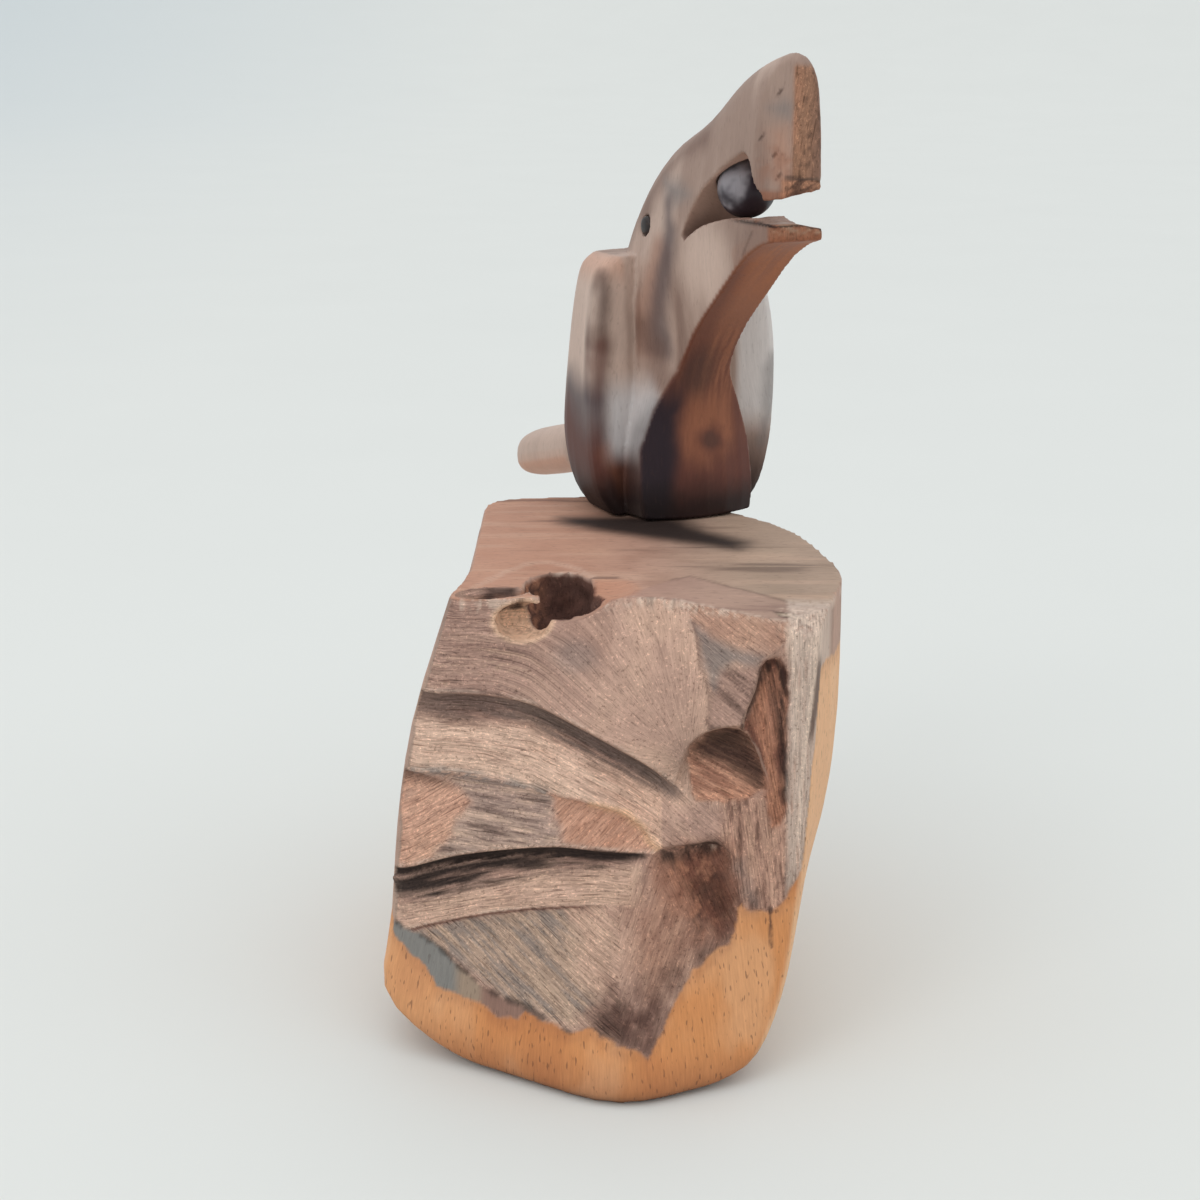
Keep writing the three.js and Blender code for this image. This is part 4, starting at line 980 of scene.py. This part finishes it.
def paint_beak(bird, coat):
    """Torn end grain at the beak's ends, and the dark inside of the mouth."""
    u, v, w = bird.u, bird.v, bird.w
    torn = np.maximum(bird.beak_end, bird.hook_face)
    rubbed = np.maximum(0.8 * bird.hook_edge, bird.jaw_end)
    worn_side = bird.near * spot(u, w, (35.5, 61), (5.5, 7)) * ease(-0.6, 0.4, clouds(bird.body, 1.8, 137))
    coat(CHESTNUT, 0.35, worn_side)
    coat(END_GRAIN, 0.95, torn)
    coat(CHESTNUT, 0.9, rubbed)
    layers = clouds(np.column_stack([v, 4 * w + v, u]), (5, 1.6, 3), 139)
    coat(STONE, 0.6, bird.jaw_end, ease(-0.7, 0.7, layers), ease(49.6, 50.6, w))
    coat(UMBER, 0.5, bird.jaw_end, ease(0.2, 0.8, -layers))
    jaw_rim = ease(35.4, 36.2, u) * ease(49, 50, w) * ease(54, 53, w)
    coat(BLACK_SHADE_AND_STAIN, 0.85, jaw_rim, ease(0.2, 0.4, bird.rise), ease(0.97, 0.8, bird.rise))
    coat(RUST, 0.4, bird.hook_face)
    coat(RUST, 0.8, bird.beak_end, ease(0.5, -3, v), ease(-0.5, 0.4, clouds(bird.body, 1.6, 133)))
    coat(SATIN_DEEP, 0.6, bird.beak_end, ease(0.5, 3.2, v))
    pits = ease(0.25, 0.7, clouds(bird.body, (0.5, 0.5, 0.9), 131, 2))
    pitted = np.maximum(torn, 0.6 * np.maximum(bird.hook_edge, worn_side))
    coat(UMBER, 0.45, pitted, pits)
    slanted = np.column_stack([w - 0.7 * v, 3 * v, u])
    splinters = ease(0.1, 0.6, clouds(slanted, (0.7, 9, 3), 135, 2))
    coat(UMBER, 0.75, bird.hook_face, splinters)
    coat(BLACK_SHADE_AND_STAIN, 0.7, ease(36.2, 36.8, u), ease(0.45, 0.1, np.abs(w - 58.4 + 0.1 * v)))
    coat(HEART, 0.85, bird.mouth)
    coat(UMBER, 0.5, bird.mouth, ease(54, 48, w))
    coat(BLACK_SHADE_AND_STAIN, 0.8, ease(24, 30, u), ease(0.5, 0.2, np.abs(w - JAW_TOP)), ease(-3.8, -4.3, v))


def make_bird():
    """Bird in one piece, smooth but for the torn ends of its beak."""
    piece = fine_copy("toucan_body", "toucan", BIRD_VOXEL)
    mesh = piece.data
    bird = Bird(mesh)
    torn = np.maximum(np.maximum(bird.beak_end, bird.hook_face), 0.6 * bird.jaw_end)
    relief = 0.05 * clouds(bird.body, 8, 105, 2) + 0.12 * torn * clouds(bird.body, 1, 107)
    push(mesh, relief - 0.1 * torn)
    keep_in_box(mesh, read(mesh, "co"), "toucan_body")

    paint = Paint(len(bird.u), SATIN)
    broad = clouds(bird.flow, (40, 6, 9), 111)
    paint.coat(SATIN_PALE, 0.5, ease(0, 0.9, broad))
    paint.coat(SATIN_DEEP, 0.4, ease(0.1, 0.9, -broad))
    streak = clouds(bird.flow, (34, 3.4, 5), 113)
    paint.coat(SATIN_DEEP, 0.45, ease(0.35, 0.95, streak), ease(58, 40, bird.w))
    paint_flanks(bird, paint.coat)
    paint_breast(bird, paint.coat)
    paint_beak(bird, paint.coat)
    paint.light *= BIRD_GAIN
    keep_looks(mesh, paint, bird.flow, hewn=torn, lined=torn)
    return piece


def turned(name, profile, place, axis=(0, 0, 1), steps=48):
    """Round piece from a profile of [along, radius] in millimetres, about an axis."""
    shape = bmesh.new()
    turns = [2 * math.pi * i / steps for i in range(steps)]
    rings = []
    for along, radius in profile:
        ring = turns if radius else turns[:1]
        spots = [(radius * MM * math.cos(t), radius * MM * math.sin(t), along * MM) for t in ring]
        rings.append([shape.verts.new(at) for at in spots])
    for lower, upper in zip(rings[:-1], rings[1:]):
        for i in range(steps):
            ends = ((lower, i), (lower, i + 1), (upper, i + 1), (upper, i))
            shape.faces.new(list(dict.fromkeys(ring[k % len(ring)] for ring, k in ends)))
    bmesh.ops.recalc_face_normals(shape, faces=shape.faces)
    mesh = bpy.data.meshes.new(name)
    shape.to_mesh(mesh)
    shape.free()
    facing = Vector(axis).normalized().to_track_quat("Z", "Y").to_matrix().to_4x4()
    mesh.transform(Matrix.Translation(place) @ facing)
    smooth(mesh)
    return add_piece(name, mesh)


def middle(cad_node):
    """Middle of a solid's box."""
    low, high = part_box(cad_node)
    return (low + high) / 2


def finish_small(piece, points, paint):
    """Keeps the looks of a small piece, whose grain runs upright."""
    keep_looks(piece.data, paint, points[:, [2, 0, 1]])
    return piece


def make_ball():
    """Turned ball, dark, with a painted highlight on the side toward the light and painted shade on the side
    away from it.
    """
    low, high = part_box("beak_ball")
    radius = (high.z - low.z) / 2 / MM
    rows, steps = 64, 96
    turns = [math.pi * i / rows for i in range(rows + 1)]
    profile = [(-radius * math.cos(t), radius * math.sin(t)) for t in turns]
    profile[0], profile[-1] = (-radius, 0), (radius, 0)
    piece = turned("beak_ball_turned", profile, middle("beak_ball"), steps=steps)
    mesh = piece.data
    points = read(mesh, "co")
    push(mesh, -BALL_WEAR * (1 + clouds(points, 2.6, 201)))
    paint = Paint(len(points), SMOKE)
    mottle = clouds(points, 2.2, 203)
    # Painted highlight on the side of the ball toward the light, and painted shade on the side away from it
    worn = read(mesh, "normal") @ BALL_LIT_SIDE
    paint.coat(BALL_HIGHLIGHT, 0.75, ease(0.2, 1.1, worn + 0.5 * mottle))
    paint.coat(INK, 0.95, ease(0.85, 0.25, worn + 0.25 * mottle))
    return finish_small(piece, points, paint)


def mottled(cad_node, profile, ground, blotch, size, seed, axis=(0, 0, 1)):
    """Small turned piece of one colour, with blotches of another."""
    piece = turned(cad_node + "_turned", profile, middle(cad_node), axis)
    points = read(piece.data, "co")
    paint = Paint(len(points), ground)
    paint.coat(blotch, 0.5, ease(0, 0.8, clouds(points, size, seed)))
    return finish_small(piece, points, paint)


def make_eye(cad_node):
    """Dark peg with a rounded face."""
    out = 1 if cad_node.endswith("left") else -1
    return mottled(cad_node, EYE_PROFILE, EYE_DARK, UMBER, 0.7, 211, out * LEFTWARD)


def make_dowel(cad_node):
    """Pale dowel with bevelled ends."""
    low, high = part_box(cad_node)
    half, radius = (high.z - low.z) / 2 / MM, (high.x - low.x) / 2 / MM
    thin, short = radius - DOWEL_BEVEL, half - DOWEL_BEVEL
    profile = [(-half, 0), (-half, thin), (-short, radius), (short, radius), (half, thin), (half, 0)]
    return mottled(cad_node, profile, AMBER_PALE, AMBER, (1, 1, 8), 221)


class Shader:
    """Node tree of a material or of the world, with short ways to add the nodes used most."""

    def __init__(self, owner):
        owner.use_nodes = True
        self.tree = owner.node_tree

    def fill(self, socket, value):
        """Links an output into a socket, or sets a constant on it."""
        if isinstance(value, bpy.types.NodeSocket):
            self.tree.links.new(value, socket)
        else:
            socket.default_value = value

    def add(self, kind, inputs=None, **settings):
        """Outputs of a new node, which has its settings and its inputs filled."""
        made = self.tree.nodes.new("ShaderNode" + kind)
        for key, value in settings.items():
            setattr(made, key, value)
        for key, value in (inputs or {}).items():
            self.fill(made.inputs[key], value)
        return made.outputs

    def attribute(self, name, output="Fac"):
        """Numbers that were kept on the mesh."""
        return self.add("Attribute", attribute_name=name)[output]

    def mix(self, factor, first, second, blend="MIX"):
        """Two colours, blended by a factor."""
        inputs = {0: factor, 6: first, 7: second}
        return self.add("Mix", inputs, data_type="RGBA", blend_type=blend, clamp_result=False)[2]

    def maths(self, operation, *values):
        """Result of an operation on two or three numbers."""
        return self.add("Math", dict(enumerate(values)), operation=operation)[0]

    def times(self, first, second):
        """Product of two numbers."""
        return self.maths("MULTIPLY", first, second)

    def ramp(self, value, low, high, to_low, to_high):
        """Number drawn from one range to another, and held at its ends."""
        ends = {"From Min": low, "From Max": high, "To Min": to_low, "To Max": to_high}
        return self.add("MapRange", {"Value": value, **ends})[0]

    def noise(self, vector, scale, detail, rough=0.6):
        """Noise in coordinates drawn out per axis, as lines, dashes or specks."""
        drawn = self.add("VectorMath", {0: vector, 1: scale}, operation="MULTIPLY")[0]
        inputs = {"Vector": drawn, "Scale": 1.0, "Detail": detail, "Roughness": rough}
        return self.add("TexNoise", inputs)[0]


def wood(name, contrast, pores, polish, shine, depth):
    """Wood whose colour comes from its points, with lines, pores and fibres laid over it.
    polish is the roughness of its smooth and of its hewn surfaces, and depth is in millimetres."""
    material = bpy.data.materials.new(name)
    shader = Shader(material)
    shader.tree.nodes.clear()
    mix, maths, times, ramp, noise = shader.mix, shader.maths, shader.times, shader.ramp, shader.noise
    flow = shader.attribute("flow", "Vector")
    sap, hewn, lined = (shader.attribute(key) for key in ("sap", "hewn", "lined"))
    lines = noise(flow, (0.1, 1.7, 1.0), 3.0)
    threads = noise(flow, (0.4, 4.2, 1.0), 2.0)
    dashes = noise(flow, (0.55, 2.5, 1.0), 1.0)
    hairs = noise(flow, (1.0, 3.6, 2.0), 1.0)
    scratches = noise(flow, (0.16, 3.4, 1.0), 1.0)
    specks = noise(shader.add("TexCoord")["Object"], (2100, 2100, 2100), 2.0, 0.7)

    both = maths("ADD", times(lines, 0.4), times(threads, 0.6))
    line_depth = ramp(lined, 0, 1, 0.3 * contrast, contrast)
    shade = maths("MULTIPLY_ADD", maths("SUBTRACT", both, 0.5), line_depth, 1.0)
    colour = mix(1.0, shader.attribute("tint", "Color"), shade, "MULTIPLY")
    pore = times(ramp(dashes, 0.64, 0.7, 0.0, pores), ramp(sap, 0, 1, 0.6, 1.0))
    colour = mix(pore, colour, (*linear(UMBER), 1))
    # Pale hairs and specks on the hewn wood, with painted glints
    hair = times(ramp(hairs, 0.6, 0.7, 0.0, 0.6), lined)
    lit = times(maths("MAXIMUM", hair, ramp(specks, 0.6, 0.72, 0.0, 0.9)), hewn)
    colour = mix(lit, colour, mix(1.0, colour, LIT_FIBRE, "MULTIPLY"))
    scratch = times(ramp(scratches, 0.63, 0.68, 0.0, 0.7), lined)
    pit = times(ramp(specks, 0.41, 0.29, 0.0, 0.75), hewn)
    dark = maths("MAXIMUM", pit, scratch)
    colour = mix(dark, colour, mix(1.0, colour, DARK_PIT, "MULTIPLY"))

    gloss = maths("ADD", ramp(hewn, 0, 1, *polish), times(lines, 0.14))
    height = maths("SUBTRACT", both, times(pore, 0.4))
    height = times(height, ramp(hewn, 0, 1, 0.25, 1.0))
    bump = shader.add("Bump", {"Height": height, "Strength": 1.0, "Distance": depth * MM})[0]
    surface = shader.add("BsdfPrincipled", {
        "Base Color": colour, "Roughness": gloss, "Specular IOR Level": shine, "Normal": bump,
    })[0]
    shader.add("OutputMaterial", {"Surface": surface})
    return material


def dress(piece, body, cad_node, material):
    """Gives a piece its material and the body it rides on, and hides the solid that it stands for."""
    piece.data.materials.append(material)
    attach(piece, body)
    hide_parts(cad_node)


def paper():
    """Faintly mottled paper for the floor, with painted shade that makes it a little darker far off to the
    left.
    """
    material = bpy.data.materials.new("studio_paper")
    shader = Shader(material)
    place = shader.add("TexCoord")["Object"]
    darker = [part - PAPER_BLOTCH for part in PAPER]
    tint = shader.mix(shader.noise(place, (9, 9, 9), 2.0), (*linear(PAPER), 1), (*linear(darker), 1))
    across = shader.add("SeparateXYZ", {0: place})[0]
    # Painted shade: the paper darkens far off to the left
    tint = shader.mix(shader.ramp(across, *PAPER_FADE, 0.0, 1.0), tint, (*linear(PAPER_FAR), 1))
    surface = shader.tree.nodes["Principled BSDF"]
    shader.fill(surface.inputs["Base Color"], tint)
    shader.fill(surface.inputs["Roughness"], PAPER_ROUGHNESS)
    return material


def make_stage():
    """Round floor that rises gently into a low wall, far off on every side."""
    profile = [(0, 0), *((0, radius) for radius in FLOOR_RADII)]
    for turn in WALL_TURNS:
        profile.append((WALL_BEND * (1 - math.cos(turn)), FLOOR_RADII[-1] + WALL_BEND * math.sin(turn)))
    floor = turned("studio_floor", profile, (0, 0, 0), steps=96)
    floor.data.materials.append(paper())


def make_light():
    """World that brightens overhead, as a room with a large ceiling light, and two softboxes."""
    scene = bpy.context.scene
    scene.view_settings.view_transform = "Standard"
    world = bpy.data.worlds.new("studio")
    shader = Shader(world)
    rise = shader.add("SeparateXYZ", {0: shader.add("TexCoord")["Generated"]})[2]
    sky = shader.tree.nodes["Background"]
    shader.fill(sky.inputs["Color"], SKY)
    shader.fill(sky.inputs["Strength"], shader.ramp(rise, 0.0, 0.9, HORIZON_LIGHT, ZENITH_LIGHT))
    scene.world = world
    for name, (place, size, power) in SOFTBOXES.items():
        lamp = bpy.data.lights.new(name, "AREA")
        lamp.shape = "RECTANGLE"
        lamp.size, lamp.size_y = size
        lamp.energy = power
        box = add_piece(name, lamp)
        box.location = place
        aim = Vector(LIGHT_TARGET) - Vector(place)
        box.rotation_euler = aim.to_track_quat("-Z", "Y").to_euler()


def make_camera():
    """Camera that sees the part as the photograph does."""
    data = bpy.data.cameras.new("camera")
    data.lens = CAMERA_LENS
    data.sensor_width = CAMERA_SENSOR
    data.clip_start, data.clip_end = CAMERA_CLIP
    camera = add_piece("camera", data)
    camera.location = [c * MM for c in CAMERA_PLACE]
    camera.rotation_euler = (math.radians(CAMERA_PITCH), 0, 0)
    bpy.context.scene.camera = camera


make_camera()
make_light()
make_stage()
block_wood = wood("block_wood", contrast=2.3, pores=0.5, polish=(0.55, 0.8), shine=0.2, depth=0.3)
bird_wood = wood("bird_wood", contrast=1.3, pores=0.2, polish=(0.45, 0.65), shine=0.16, depth=0.1)
ball_wood = wood("ball_wood", contrast=0.6, pores=0.2, polish=(0.32, 0.6), shine=0.3, depth=0.06)
eye_wood = wood("eye_wood", contrast=0.6, pores=0.4, polish=(0.35, 0.6), shine=0.4, depth=0.08)
dowel_wood = wood("dowel_wood", contrast=0.6, pores=0.4, polish=(0.55, 0.6), shine=0.3, depth=0.08)
dress(make_block(), "carving", "base_block", block_wood)
dress(make_bird(), "carving", "toucan_body", bird_wood)
dress(make_ball(), "ball", "beak_ball", ball_wood)
for eye in ("eye_peg_left", "eye_peg_right"):
    dress(make_eye(eye), "carving", eye, eye_wood)
for dowel in ("dowel_front", "dowel_rear"):
    dress(make_dowel(dowel), "carving", dowel, dowel_wood)
